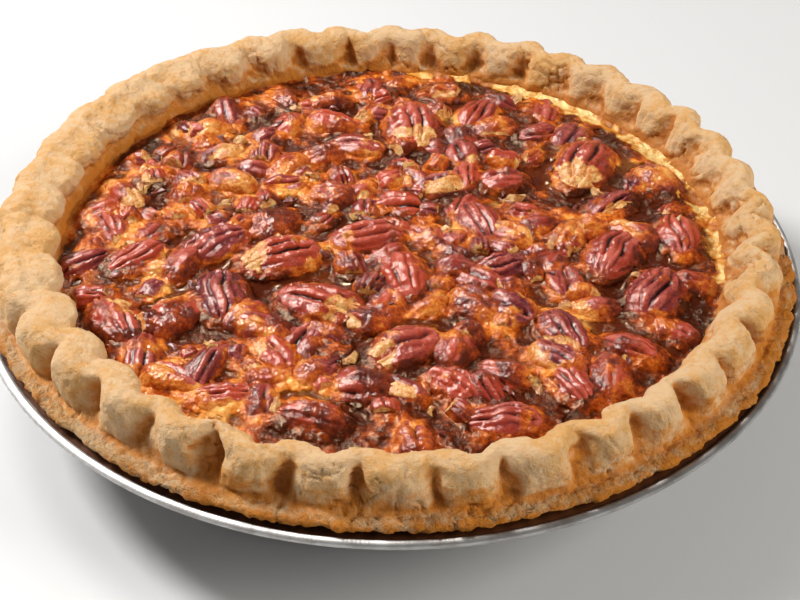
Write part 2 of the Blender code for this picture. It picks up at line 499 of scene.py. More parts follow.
@dataclass(frozen=True)
class BakedPastry:
    """Matt shortcrust: pale gold on its crests, browner and darker in its dents, partly baked browning
    and partly painted shade, and browner at its thin edges.
    """

    pale: Colour = srgb(208, 173, 131)
    gold: Colour = srgb(204, 155, 94)
    brown: Colour = srgb(194, 121, 44)
    # Deep brown painted into the deepest dents: painted shade, partly baked browning.
    deep: Colour = srgb(122, 58, 14)
    stain: Colour = srgb(186, 114, 42)

    def make(self) -> bpy.types.Material:
        """Builds the material."""
        dress = Dress("baked_pastry")
        slow = dress.noise(14.0, 3.0, 0.6)
        fine = dress.noise(1.1, 4.0, 0.65)
        fleck = dress.noise(2.6, 3.0, 0.7)
        toast = dress.mark("toast")
        hollow = dress.mark("hollow")
        ledge = dress.mark("ledge")
        gold = dress.blend((slow + (fleck - 0.5) * 0.8).rise(0.35, 0.7), self.pale, self.gold)
        # Browner where the mark read here is high: baked browning, with painted shade on the outer face
        # and on the inner wall at the left.
        toasted = (toast + (fleck - 0.5) * 0.9 + (slow - 0.5) * 0.5).rise(0.3, 1.0)
        # Painted shade, partly baked browning: the hollow mark paints the dents brown, and deep brown
        # where they lie deepest.
        sunk = hollow + (fine - 0.5) * 0.4 + (fleck - 0.5) * 0.5
        stain = (dress.mark("stain") + (fleck - 0.5) * 0.9).rise(0.3, 1.0)
        # The pits below are painted brown where the relief presses them in: painted shade in the pits.
        pits = 1.0 - dress.cells(0.9).rise(0.0, 0.35)
        crumbs = (fine + (fleck - 0.5) * 0.6).rise(0.5, 0.75) * (ledge * 0.28 + 0.1)
        colour = dress.paint(
            gold,
            (toasted, self.brown),
            (sunk.rise(0.2, 0.9) * 0.85, self.brown),
            (sunk.rise(0.7, 1.3) * 0.85, self.deep),
            (stain * 0.85, self.stain),
            (pits * fleck.rise(0.5, 0.62) * 0.5, self.brown),
            (crumbs, self.brown),
        )
        relief = dress.emboss(
            (dress.noise(5.0, 3.0, 0.55), 0.7), (fleck, 0.65), (fine, 0.34), (fine * ledge, 0.8),
            (1.0 - pits * fleck.rise(0.45, 0.6), 0.14),
        )
        rough = 0.6 + fine * 0.25
        constants = {"Specular IOR Level": 0.15, "Subsurface Weight": 0.06, "Subsurface Scale": 0.0012}
        return dress.finish(constants, {"Base Color": colour, "Roughness": rough, "Normal": relief})


@dataclass(frozen=True)
class Froth:
    """Baked froth, dark brown through orange to gold, that coats the filling and the nuts."""

    dark: Colour = srgb(62, 21, 7)
    brown: Colour = srgb(116, 44, 14)
    orange: Colour = srgb(174, 75, 20)
    gold: Colour = srgb(214, 120, 38)
    cream: Colour = srgb(236, 168, 86)

    def colour(self, dress: Dress, gold: Any) -> Wire:
        """Speckled colours, with more gold where gold is high."""
        slow = dress.noise(15.0, 3.0, 0.6)
        patch = dress.noise(3.6, 4.0, 0.65)
        fine = dress.noise(0.9, 3.0, 0.75)
        speck = (patch - 0.5) * 1.3 + (fine - 0.5) * 0.4 + (slow - 0.5) * 2.6 + gold
        stops = (
            (0.1, self.dark), (0.34, self.brown), (0.55, self.orange), (0.76, self.gold),
            (1.0, self.cream),
        )
        return dress.add("ShaderNodeValToRGB", {"stops": stops}, {"Fac": speck})

    def relief(self, dress: Dress, share: Wire) -> Wire:
        """Soft lumps, blisters and fine bubbles, each as deep as the given share."""
        layers = (
            (dress.noise(3.2, 4.0, 0.6), 0.7),
            (1.0 - dress.cells(2.1, "SMOOTH_F1"), 0.62),
            (dress.noise(1.1, 3.0, 0.65), 0.22),
            (dress.noise(0.4, 2.0, 0.6), 0.05),
            (1.0 - dress.cells(1.0), 0.1),
        )
        return dress.emboss(*((height * share, depth_mm) for height, depth_mm in layers))


@dataclass(frozen=True)
class BakedSyrup:
    """The filling's skin: speckled froth on what stands up, and dark glossy syrup in the hollows,
    painted darker the deeper they lie, partly the syrup's own colour and partly painted shade.
    """

    froth: Froth = Froth()
    # Near-black syrup for the hollows: partly its own colour, partly painted shade.
    syrup: Colour = srgb(74, 25, 8)
    skin: Colour = srgb(146, 50, 30)
    custard: Colour = srgb(238, 206, 134)
    amber: Colour = srgb(204, 132, 44)
    baked: Colour = srgb(170, 98, 32)

    def make(self) -> bpy.types.Material:
        """Builds the material."""
        dress = Dress("baked_syrup")
        patch = dress.noise(3.4, 4.0, 0.65)
        fine = dress.noise(0.9, 3.0, 0.7)
        skin = (dress.mark("skin") + (patch - 0.5) * 1.2).rise(0.45, 0.8)
        # Painted shade, partly real syrup: the hollows are painted near black, more the deeper they
        # lie.
        pool_and_shade = (dress.mark("pool_and_shade") + (patch - 0.5) * 0.9 + (fine - 0.5) * 0.4).rise(0.3, 1.0)
        seam = dress.mark("custard") + (patch - 0.5) * 1.1
        trough = (dress.mark("trough") + (patch - 0.5) * 0.9).rise(0.3, 0.9)
        cream = dress.paint(
            self.custard,
            (dress.noise(4.5, 4.0, 0.7).rise(0.45, 0.62) * 0.9, self.amber),
            (fine.rise(0.55, 0.72) * 0.6, self.baked),
        )
        colour = dress.paint(
            self.froth.colour(dress, dress.mark("gold")),
            (skin * 0.7, self.skin),
            (pool_and_shade * 0.9, self.syrup),
            (trough * 0.9, self.baked),
            (seam.rise(0.15, 0.45), self.amber),
            ((seam - 0.15).rise(0.4, 0.9), cream),
        )
        rough = 0.13 + (patch - 0.5) * 0.18 + trough * 0.35 - pool_and_shade * 0.05
        constants = {"Specular IOR Level": 0.28, "Specular Tint": (1.0, 0.72, 0.42, 1.0)}
        relief = self.froth.relief(dress, 1.0 - pool_and_shade * 0.8)
        wires = {"Base Color": colour, "Roughness": rough.clamp(), "Normal": relief}
        return dress.finish(constants, wires)


@dataclass(frozen=True)
class RoastedPecan:
    """Pecan skin, with a painted highlight on its upward-facing top and raised lines, darker in its
    furrows, partly the skin's own colour and partly painted shade, with cream flesh where it is broken
    and froth on its flanks.
    """

    froth: Froth = Froth()
    red: Colour = srgb(174, 62, 32)
    plum: Colour = srgb(90, 31, 40)
    # Pinkish painted highlight for the nut's upward-facing top and raised lines.
    ridge: Colour = srgb(212, 110, 92)
    # Near black for the furrows and fine low lines: partly the skin's own colour, partly painted shade.
    dark: Colour = srgb(26, 9, 7)
    flesh: Colour = srgb(232, 190, 122)
    toasted: Colour = srgb(192, 112, 48)

    def make(self) -> bpy.types.Material:
        """Builds the material."""
        dress = Dress("roasted_pecan")
        patch = dress.noise(3.0, 4.0, 0.65)
        fine = dress.noise(0.7, 3.0, 0.7)
        lines = dress.mark("lines")
        tone = (dress.mark("tone") + (patch - 0.5) * 1.2).clamp()
        lit = (dress.mark("ridge") + (fine - 0.5) * 0.8 + (patch - 0.5) * 0.8).rise(0.45, 1.1)
        # Painted shade, partly the skin's own colour: the furrows and the low fine lines are painted
        # near black.
        sunk = (dress.mark("furrow") + lines * 0.5 + (fine - 0.5) * 0.3).rise(0.3, 0.95)
        meat = dress.blend((patch + fine).rise(0.78, 1.16), self.flesh, self.toasted)
        bare = dress.mark("flesh") + (patch - 0.5) * 0.9
        flesh = bare.rise(0.45, 0.75)
        film = (dress.mark("film") + (patch - 0.5) * 1.2 + (fine - 0.5) * 0.4).rise(0.25, 1.0) * 0.85
        colour = dress.paint(
            self.red,
            (tone, self.plum),
            (lit * 0.75, self.ridge),
            (sunk, self.dark),
            (bare.rise(0.3, 0.45), self.toasted),
            (flesh, meat),
            (film, self.froth.colour(dress, 0.5)),
        )
        relief = dress.emboss(
            (dress.noise(2.0, 3.0, 0.55), 0.5), (fine, 0.13), (dress.noise(0.4, 2.0, 0.6), 0.04),
            ((1.0 - dress.cells(1.3)) * film, 0.34),
        )
        rough = 0.13 + (patch - 0.5) * 0.3 + flesh * 0.25
        constants = {"Specular IOR Level": 0.38, "Specular Tint": (1.0, 0.86, 0.78, 1.0)}
        wires = {"Base Color": colour, "Roughness": rough.clamp(), "Normal": relief}
        return dress.finish(constants, wires)


@dataclass(frozen=True)
class Crumb:
    """Small broken pecan: cream flesh or dark skin."""

    name: str
    light: Colour
    dark: Colour

    def make(self) -> bpy.types.Material:
        """Builds the material."""
        dress = Dress(self.name)
        patch = dress.noise(2.2, 4.0, 0.7)
        colour = dress.blend(patch.rise(0.38, 0.62), self.light, self.dark)
        relief = dress.bump(dress.noise(0.9, 4.0, 0.7), 0.4)
        rough = 0.4 + patch * 0.2
        wires = {"Base Color": colour, "Roughness": rough, "Normal": relief}
        return dress.finish({"Coat Weight": 0.3, "Coat Roughness": 0.2}, wires)


@dataclass(frozen=True)
class PressedFoil:
    """Bright bare foil with faint creases, and painted shade, dark brown and not metal, in the gap
    inside its rim under the pastry's edge.
    """

    bright: Colour = (0.64, 0.63, 0.62)
    dull: Colour = (0.46, 0.44, 0.42)
    gap_shade: Colour = srgb(84, 46, 22)
    crimps: int = 690

    def make(self) -> bpy.types.Material:
        """Builds the material."""
        dress = Dress("pressed_foil")
        cloud = dress.noise(6.0, 4.0, 0.6)
        crease = dress.noise(1.4, 3.0, 0.6)
        # Painted shade, with a painted reflection of the pastry's underside: the gap under the pastry's
        # edge is dark brown.
        baked = (dress.mark("baked") + (cloud - 0.5) * 0.5).rise(0.35, 0.7)
        colour = dress.paint(self.bright, (cloud.rise(0.35, 0.7), self.dull), (baked, self.gap_shade))
        x, y, _ = dress.parts(dress.place)
        turn = y.maths("ARCTAN2", x)
        knurl = (turn * float(self.crimps)).maths("SINE") * dress.mark("rim")
        creased = (knurl * cloud.rise(0.35, 0.65), 0.014), (crease, 0.06)
        relief = dress.emboss((dress.noise(9.0, 3.0, 0.5), 0.4), *creased)
        rough = 0.5 + cloud * 0.16 + baked * 0.3
        # No metal where the gap's painted shade lies.
        metal = 1.0 - baked
        wires = {"Base Color": colour, "Roughness": rough, "Metallic": metal, "Normal": relief}
        return dress.finish({}, wires)


class GeometryTree(Bench):
    """A Geometry Nodes tree with named inputs, put on an object and then worked into its mesh."""

    def __init__(self, name: str, sizes: dict[str, float]) -> None:
        """Starts a tree whose number inputs are named and set by sizes."""
        tree = bpy.data.node_groups.new(name, "GeometryNodeTree")
        tree.interface.new_socket(name="Geometry", in_out="INPUT", socket_type="NodeSocketGeometry")
        self.sizes = {}
        for label, value in sizes.items():
            kind = "NodeSocketInt" if isinstance(value, int) else "NodeSocketFloat"
            socket = tree.interface.new_socket(name=label, in_out="INPUT", socket_type=kind)
            self.sizes[socket.identifier] = value
        tree.interface.new_socket(name="Geometry", in_out="OUTPUT", socket_type="NodeSocketGeometry")
        super().__init__(tree)
        self.source = tree.nodes.new("NodeGroupInput")

    def size(self, name: str) -> Wire:
        """The wire from a named input."""
        return Wire(self, self.source.outputs[name])

    def vector(self, x: Any, y: Any, z: Any) -> Wire:
        """A vector of three numbers or wires."""
        return self.add("ShaderNodeCombineXYZ", None, {0: x, 1: y, 2: z})

    def close(self, last: Wire, material: bpy.types.Material) -> None:
        """Realises what was instanced, gives it its material and links the output."""
        real = self.add("GeometryNodeRealizeInstances", None, {"Geometry": last})
        dressed = self.add("GeometryNodeSetMaterial", None, {"Geometry": real, "Material": material})
        output = self.tree.nodes.new("NodeGroupOutput")
        self.tree.links.new(dressed.socket, output.inputs[0])

    def grow(self, name: str, host: bpy.types.Mesh) -> bpy.types.Object:
        """Runs the tree on a mesh.

        Args:
            name: The new object's name.
            host: The mesh that the tree works on.

        Returns:
            A plain mesh object that holds the result.
        """
        made = bpy.data.objects.new(name, host)
        bpy.context.scene.collection.objects.link(made)
        modifier = made.modifiers.new(name, "NODES")
        modifier.node_group = self.tree
        for identifier, value in self.sizes.items():
            modifier[identifier] = value
        work_in(made, modifier).name = name
        return made


@dataclass
class FoilTin:
    """The tin: one pleated sheet from its flat floor, up its wall, over its rim to its rolled edge."""

    base: float = 91.6
    wall_top: float = 110.0
    rim: float = 120.9
    depth: float = 31.0
    foil: float = 0.35
    bead: float = 1.15
    pleats: int = 150
    pleat_depth: float = 0.55
    columns_per_pleat: int = 6
    rows: int = 52

    def profile(self) -> Array:
        """The sheet's middle line, as (radius, height) from the floor's middle to the rolled edge.

        Returns:
            The points of the line.
        """
        half = self.foil / 2
        wall = [(self.base + (self.wall_top - self.base) * s, half + (self.depth - 1.0) * s)
                for s in np.linspace(0.03, 1.0, 14)]
        groove = [(self.wall_top + 1.2, self.depth - 0.5), (self.wall_top + 4.0, self.depth - 0.9)]
        lip = [(self.rim - 3.2, self.depth - 0.6)]
        turns = np.linspace(math.radians(215), math.radians(-150), 15)
        bead = [(self.rim + self.bead * math.cos(a), self.depth - 0.1 + self.bead * math.sin(a))
                for a in turns]
        floor = [(r, half) for r in (0.4, 20.0, 55.0, 80.0, self.base - 1.5, self.base - 0.2)]
        return np.array(floor + wall + groove + lip + bead)

    def build(self, finish: bpy.types.Material) -> bpy.types.Object:
        """Turns the profile round the axis in Geometry Nodes and presses the pleats into it.

        Args:
            finish: The foil's material.

        Returns:
            The tin.
        """
        line = self.profile()
        guide = bpy.data.meshes.new("tin_profile")
        guide.from_pydata([(r * MM, 0.0, z * MM) for r, z in line],
                          [(i, i + 1) for i in range(len(line) - 1)], [])
        tree = GeometryTree("pleated_tin", {
            "Columns": self.pleats * self.columns_per_pleat + 1, "Rows": self.rows,
            "Pleats": float(self.pleats), "Pleat Depth": self.pleat_depth * MM,
            "Wall Foot": 3.0 * MM, "Inner Radius": (self.base + 1.0) * MM, "Crowding": 1.7,
        })
        sheet = tree.add("GeometryNodeMeshGrid", None, {
            "Size X": 1.0, "Size Y": 1.0,
            "Vertices X": tree.size("Columns"), "Vertices Y": tree.size("Rows")})
        curve = tree.add("GeometryNodeMeshToCurve", None, {"Mesh": tree.size("Geometry")})
        spot = tree.add("GeometryNodeInputPosition")
        x, y, _ = tree.parts(spot)
        turn = (x + 0.5) * math.tau
        crowded = 1.0 - (1.0 - (y + 0.5)).clamp() ** tree.size("Crowding")
        sample = tree.add("GeometryNodeSampleCurve", {"mode": "FACTOR"},
                          {"Curves": curve, "Factor": crowded}, "Position")
        radius, _, height = tree.parts(sample)
        wall = (radius - tree.size("Inner Radius")) / tree.size("Wall Foot")
        press = (turn * tree.size("Pleats")).maths("COSINE") * tree.size("Pleat Depth")
        edge = 1.0 - ((radius - (self.rim - 4.0) * MM) / (2.5 * MM)).clamp()
        radius = radius + press * wall.clamp() * edge
        lift = press * 0.5 * edge * ((radius - self.wall_top * MM) / (2.0 * MM)).clamp()
        place = tree.vector(radius * turn.maths("COSINE"), radius * turn.maths("SINE"), height + lift)
        shaped = tree.add("GeometryNodeSetPosition", None, {"Geometry": sheet, "Position": place})
        joined = tree.add("GeometryNodeMergeByDistance", None, {"Geometry": shaped, "Distance": 1e-5})
        tree.close(joined, finish)
        made = tree.grow("pleated_foil_tin", guide)
        self.thicken(made)
        self.mark_gap_shade(made)
        return made

    def thicken(self, made: bpy.types.Object) -> None:
        """Gives the sheet its thickness and faces that point out of it."""
        wall = made.modifiers.new("foil", "SOLIDIFY")
        wall.thickness = self.foil * MM
        wall.offset = 0.0
        work_in(made, wall).shade_smooth()

    def mark_gap_shade(self, made: bpy.types.Object) -> None:
        """Marks the painted shade on the rim, in the gap between the pastry's edge and the bead."""
        mesh = made.data
        points = np.zeros(len(mesh.vertices) * 3, np.float32)
        mesh.vertices.foreach_get("co", points)
        points = points.reshape(-1, 3) / MM
        radius = np.hypot(points[:, 0], points[:, 1])
        upper = step(self.depth - 2.0, self.depth - 0.6, points[:, 2])
        # Painted shade in the gap between the pastry's edge and the bead.
        baked = step(self.rim - 0.6, self.rim - 2.2, radius) * upper * step(100, 108, radius)
        rim = step(self.wall_top + 1.0, self.wall_top + 3.0, radius)
        add_marks(mesh, {"baked": baked, "rim": rim})


@dataclass
class CrimpRule:
    """Where the crimps come round the rim, and how far each finger went.

    A finger's print takes the share called reach of its crimp.
    """

    count: int = 39
    phase: float = 0.1155
    reach: float = 0.93
    seed: int = 5
    pushes: Array = field(init=False)

    def __post_init__(self) -> None:
        """Draws each crimp's own strengths once."""
        chance = np.random.default_rng(self.seed)
        self.pushes = chance.uniform(-1, 1, (8, self.count))

    def turns(self, bearing: Array) -> Array:
        """How many crimps lie between bearing 0 and this one."""
        even = self.count * bearing / math.tau
        return even - 0.42 * np.cos(bearing) + 0.25 * np.sin(bearing) - self.phase

    def draw(self, row: int, number: Array) -> Array:
        """Each crimp's own number from -1 to 1."""
        return self.pushes[row][number.astype(int) % self.count]

    def print_of(self, turns: Array, steep: float, row: int) -> Array:
        """A finger's print, deep just past its steep side and shallower from there on.

        Args:
            turns: How many crimps round each point is, with the print's deepest line at whole numbers.
            steep: The share of a crimp that the steep side takes.
            row: The first of the crimps' own numbers that the print takes.

        Returns:
            The depth, 0 on the ridge between two prints and about 1 at the deepest line.
        """
        number = np.floor(turns + steep)
        share = turns + steep - number
        edge = np.clip(steep * (1 + 0.3 * self.draw(row, number)), 0.06, 0.5)
        far = self.reach + (1 - self.reach) * self.draw(row + 1, number)
        deep = step(0.0, 1.0, share / edge) * step(1.0, 0.0, (share - edge) / (far - edge)) ** 0.8
        return deep * (1 + 0.22 * self.draw(row + 2, number))

    def wave(self, turns: Array) -> Array:
        """The smooth swing of the whole wall, 1 at a dent and -1 at a groove."""
        return np.cos(math.tau * turns)


@dataclass
class TurnedSkin:
    """The case's plain turned surface, rings by columns, and where on it each detail goes.

    Shares run from 0 to 1: visible on the rings that show, high near the top, inner on the inside,
    left on the left, and up from the filling's level to the top.
    """

    bearing: Array
    ring: Array
    radius: Array
    height: Array
    spots: Array
    visible: Array
    high: Array
    inner: Array
    up: Array
    left: Array
    fold: Array
    turns: Array
    lobes: Array

    @property
    def outer(self) -> Array:
        """1 on the outside."""
        return 1 - self.inner


@dataclass
class PastryCase:
    """The case: a floor, a sloping wall and the thick crimped edge with its rough ledge.

    The inner wall rises from well, at the filling's level, to the crest at crown, top high. The
    outer wall comes down to the ledge, which reaches out to lip on the tin's rim.
    """

    well: float = 98.5
    level: float = 37.7
    crown: float = 107.5
    top: float = 48.1
    lip: float = 120.3
    rim: float = 31.5
    middle: float = 110.0
    wave_depth: float = 0.9
    dent_depth: float = 4.3
    groove_depth: float = 5.8
    groove_height: float = 11.4
    columns: int = 1080
    spacing: float = 0.66
    crimps: CrimpRule = field(default_factory=CrimpRule)
    grain: Grain = Grain(21)

    def knots(self) -> Array:
        """The outline's points as (radius, height), up the inner wall, over and down the outer wall.

        Returns:
            The points, inner floor first.
        """
        return np.array([
            (self.well, self.level - 3.0),
            (self.well + 0.3, self.level),
            (self.well + 2.6, self.level + 4.6),
            (self.crown - 3.8, self.top - 1.7),
            (self.crown, self.top),
            (self.crown + 3.8, self.top - 1.6),
            (self.crown + 5.7, self.top - 6.2),
            (self.lip - 7.0, self.rim + 6.4),
            (self.lip - 5.8, self.rim + 4.6),
            (self.lip - 2.0, self.rim + 4.1),
            (self.lip - 0.2, self.rim + 3.2),
            (self.lip - 0.1, self.rim + 1.9),
            (self.lip - 2.4, self.rim + 0.9),
            (self.crown + 2.2, self.rim + 0.4),
        ])

    def outline(self) -> tuple[Array, Array]:
        """A smooth line through the knots at an even spacing, with the plain walls at both ends.

        Returns:
            Points as (radius, height), and how far along the visible line each one is, from 0 to 1.
        """
        knots = self.knots()
        padded = np.concatenate([knots[:1] * 2 - knots[1:2], knots, knots[-1:] * 2 - knots[-2:-1]])
        dense = []
        for a, b, c, d in zip(padded, padded[1:], padded[2:], padded[3:]):
            s = np.linspace(0, 1, 24, endpoint=False)[:, None]
            dense.append(0.5 * (2 * b + (c - a) * s + (2 * a - 5 * b + 4 * c - d) * s**2
                                + (3 * b - a - 3 * c + d) * s**3))
        line = np.concatenate([*dense, knots[-1:]])
        run = np.concatenate([[0], np.cumsum(np.hypot(*np.diff(line, axis=0).T))])
        along = np.linspace(0, run[-1], round(run[-1] / self.spacing))
        seen = np.stack([np.interp(along, run, line[:, k]) for k in (0, 1)], axis=1)
        inside = np.array([(2.0, 4.5), (50.0, 4.5), (87.0, 4.5), (91.0, 16.0), (96.0, 29.0)])
        outside = np.array([
            (107.0, 27.6), (100.5, 16.0), (92.5, 3.0), (91.0, 1.5), (50.0, 1.4), (2.0, 1.4),
        ])
        share = np.concatenate([np.zeros(len(inside)), along / run[-1], np.ones(len(outside))])
        return np.concatenate([inside, seen, outside]), share

    def turn_outline(self, line: Array, share: Array) -> TurnedSkin:
        """Turns the outline about the axis and works out where each detail goes.

        Args:
            line: The outline's points.
            share: How far along the visible line each one is.

        Returns:
            The plain surface.
        """
        bearing = np.linspace(0, math.tau, self.columns, endpoint=False)[None, :]
        radius = np.repeat(line[:, :1], self.columns, axis=1)
        height = np.repeat(line[:, 1:], self.columns, axis=1)
        spots = round_points(radius, np.broadcast_to(bearing, radius.shape), height)
        ring = round_points(self.middle, bearing, 0 * bearing)
        left = step(0.25, 0.85, -np.cos(bearing + 0.1))
        fold = 1 + 0.3 * self.grain.lumps(ring, 40.0, 9)
        turns = self.crimps.turns(bearing) + 0.16 * self.grain.layers(spots, 9.0, 2, 61)
        return TurnedSkin(
            bearing, ring, radius, height, spots,
            visible=((share > 0) & (share < 1))[:, None].astype(float),
            high=step(self.level - 0.5, self.top - 2.5, height),
            inner=step(self.crown + 1.0, self.crown - 4.0, radius),
            up=np.clip((height - self.level) / (self.top - 1.0 - self.level), 0, 1.3),
            left=left,
            fold=fold * (1 - 0.75 * left * step(-0.6, -0.25, np.sin(bearing))),
            turns=turns,
            lobes=np.abs(np.sin(math.pi * (turns - 0.15))) ** 0.6,
        )

    def dents(self, skin: TurnedSkin) -> Array:
        """How deep the fingers' prints on the inner face are, as a share of the deepest."""
        dent = np.clip(1.3 * self.crimps.print_of(skin.turns, 0.36, 0) - 0.9 * skin.up, 0, 1.2)
        right = step(0.15, 0.75, np.cos(skin.bearing - 0.25))
        return dent * (1 - 0.6 * skin.left - 0.4 * right) * step(-0.1, 0.3, skin.up)

    def grooves(self, skin: TurnedSkin) -> tuple[Array, Array]:
        """The thumb's grooves on the outer face and the bulges between them.

        Args:
            skin: The plain surface.

        Returns:
            How deep the grooves are and how far the bulges stand out, as shares of the most.
        """
        bearing, height, draw = skin.bearing, skin.height, self.crimps.draw
        number = np.round(skin.turns + 0.5)
        offset = skin.turns + 0.5 - number
        soft = step(0.3, 0.75, -np.cos(bearing)) * step(0.2, -0.1, np.sin(bearing))
        half = (0.15 + 0.05 * np.abs(np.cos(bearing)) + 0.06 * soft) * (1 + 0.4 * draw(4, number))
        uneven = 1.8 * self.grain.layers(skin.spots, 8.0, 2, 62) + 7.0 * offset
        thumb = height + uneven - self.rim - self.groove_height - 1.4 * draw(6, number)
        thumb = thumb / np.where(thumb > 0, 4.8, 5.6)
        back = step(0.1, 0.5, np.sin(bearing))
        groove = np.exp(-np.abs(offset / half) ** 2.2 - np.abs(thumb) ** np.where(thumb > 0, 1.6, 2.4))
        groove = groove * (1 - 0.6 * back * step(self.top - 6.0, self.top - 2.0, height))
        groove = np.minimum(groove * (1 + 0.45 * draw(7, number)), 1.1) * (1 - 0.35 * soft)
        return groove, 1 - (1 - 2 * np.abs(offset)) ** 2

    def push_out(self, skin: TurnedSkin, groove: Array, bulge: Array) -> Array:
        """How far out the crimps move the surface.

        Args:
            skin: The plain surface.
            groove: The thumb's grooves.
            bulge: The bulges between them.

        Returns:
            The move at each point, in millimetres.
        """
        inner, outer, height, fold = skin.inner, skin.outer, skin.height, skin.fold
        wave = self.crimps.wave(skin.turns)
        push = self.wave_depth * skin.high * wave * fold
        push = push + inner * self.dent_depth * self.dents(skin) * np.maximum(fold, 0.8)
        brow = step(0.15, 0.75, skin.up) * inner * skin.left
        swell = step(self.rim + 3.5, self.rim + 8.0, height)
        swell = swell * step(self.top + 0.5, self.top - 3.0, height)
        front = step(-0.75, -0.35, np.sin(skin.bearing))
        push = push - brow * (1.4 + 3.0 * skin.lobes) + 2.8 * swell * outer * skin.left * front
        face = step(self.rim + 4.0, self.rim + 6.2, height) * outer
        return push + face * (0.4 + bulge - self.groove_depth * groove) * fold

    def lift_up(self, skin: TurnedSkin, radius: Array, groove: Array, hand: Array) -> Array:
        """The crimped edge's heights.

        Args:
            skin: The plain surface.
            radius: The points' radii, with the crimps pushed in.
            groove: The thumb's grooves.
            hand: The edge's slow unevenness.

        Returns:
            The heights.
        """
        wave, left = self.crimps.wave(skin.turns), skin.left
        tuck = 1.1 + 0.9 * self.grain.lumps(skin.ring, 24.0, 82)
        front = step(0.6, -0.4, np.sin(skin.bearing))
        crest = (0.15 * wave - 0.6 * groove * (0.2 + front)) * skin.fold
        crest = crest - tuck * left * (1 - skin.lobes) + 0.8 * hand + 0.4
        upper = skin.visible * skin.high * step(self.crown - 9, self.crown, radius)
        height = skin.height + upper * crest
        wander = 3.0 * self.grain.layers(skin.spots, 12.0, 2, 81)
        shelf = step(self.crown - 2.0, self.crown + 4.0, radius + wander)
        shelf = shelf * step(self.rim + 9.0, self.rim + 13.0, height)
        return height + 1.8 * left * shelf * skin.visible

    def build(self, finish: bpy.types.Material) -> bpy.types.Object:
        """Turns the outline, then pushes the crimps, lumps, cracks and rough ledge into it.

        Args:
            finish: The pastry's material.

        Returns:
            The case.
        """
        line, share = self.outline()
        skin = self.turn_outline(line, share)
        visible, grain = skin.visible, self.grain
        groove, bulge = self.grooves(skin)
        hand = grain.layers(skin.ring, 26.0, 3, 3)
        push = self.push_out(skin, groove, bulge) + 0.5 * skin.high * hand
        ledge = step(self.crown + 7.0, self.lip - 2.0, skin.radius) * visible
        torn = 1.4 * grain.layers(skin.spots, 11.0, 3, 71)
        torn = torn + 0.35 * grain.layers(skin.spots, 2.8, 2, 72) - 0.7
        radius = skin.radius + visible * push + ledge * torn
        height = self.lift_up(skin, radius, groove, hand)
        points = round_points(radius, np.broadcast_to(skin.bearing, radius.shape), height)
        points, relief = self.roughen(points, visible, ledge)
        points = self.keep_inside(points)
        ragged = grain.layers(points, 6.0, 3, 40)
        stain = step(self.level + 2.6, self.level - 0.2, height + 2.0 * ragged)
        marks = {
            # The hollow mark: painted shade, partly baked browning, in the dents and under the ledge.
            "hollow": self.hollows(points, skin.outer) * visible * (1 - 0.25 * skin.left),
            "toast": self.toast(points, share, ledge, relief),
            "stain": stain * skin.inner * visible,
            "ledge": ledge,
        }
        ends = np.array([(0, 0, line[0, 1]), (0, 0, line[-1, 1])], float)
        return Body.lathe(points, ends[0], ends[1], marks).make("crimped_pastry_case", finish)

    def roughen(self, points: Array, visible: Array, ledge: Array) -> tuple[Array, Array]:
        """Adds lumps, wrinkles, flakes and the ledge's torn edge.

        Args:
            points: The case's points, rings by columns.
            visible: 1 on the rings that show.
            ledge: 1 on the ledge.

        Returns:
            The roughened points, and how far each was moved out of the surface.
        """
        normal = self.outward(points)
        left = step(0.2, 0.8, -points[..., 0] / np.hypot(points[..., 0], points[..., 1]))
        relief = (0.75 - 0.4 * left) * self.grain.layers(points, 8.0, 3, 1)
        relief += 0.5 * self.grain.layers(points, 2.6, 3, 2)
        upright = points * (1, 1, 0.28)
        height = points[..., 2]
        steep = step(self.rim + 3, self.rim + 7, height) * step(self.top - 1, self.top - 4, height)
        relief += 0.35 * self.grain.layers(upright, 3.0, 2, 6) * steep
        creases = np.abs(self.grain.layers(points, 6.0, 2, 33))
        relief -= 0.9 * step(0.09, 0.0, creases) * step(-0.35, 0.25, self.grain.lumps(points, 15.0, 34))
        pits = self.grain.cells(points, 3.4, 30)
        relief -= 0.35 * step(0.34, 0.1, pits)
        torn = 0.7 * self.grain.layers(points, 4.2, 3, 12) + 0.25 * self.grain.lumps(points, 1.5, 13)
        relief += ledge * torn
        relief *= visible
        return points + normal * relief[..., None], relief

    def keep_inside(self, points: Array) -> Array:
        """Holds the edge inside the tin's rolled rim."""
        radius = np.hypot(points[..., 0], points[..., 1])
        most = self.lip + 1.2
        squeeze = np.where(radius > most, most / np.maximum(radius, 1e-6), 1.0)
        return points * np.stack([squeeze, squeeze, np.ones_like(squeeze)], axis=-1)

    def hollows(self, points: Array, outer: Array) -> Array:
        """How far each point lies below the surface round it, and where the ledge's underside is, for
        the browner colour there: partly baked browning, partly painted shade.

        Args:
            points: The case's points, rings by columns.
            outer: 1 on the outer face.

        Returns:
            The hollow mark, about 0.3 where the surface is flat and 0 on its ridges.
        """
        out = self.outward(points)
        wide = ((self.even_out(points, 5.0) - points) * out).sum(axis=-1)
        near = ((self.even_out(points, 1.6) - points) * out).sum(axis=-1)
        # Painted shade under the ledge.
        under = outer * step(self.rim + 2.6, self.rim + 1.0, points[..., 2])
        return np.clip(0.3 + 0.23 * wide + 0.6 * near + under, 0, 1)

    def even_out(self, values: Array, reach: float) -> Array:
        """The values on the rings and columns smoothed over about reach millimetres each way."""
        return smooth(values, max(1, round(reach / self.spacing)), 2, ("edge", "wrap"))

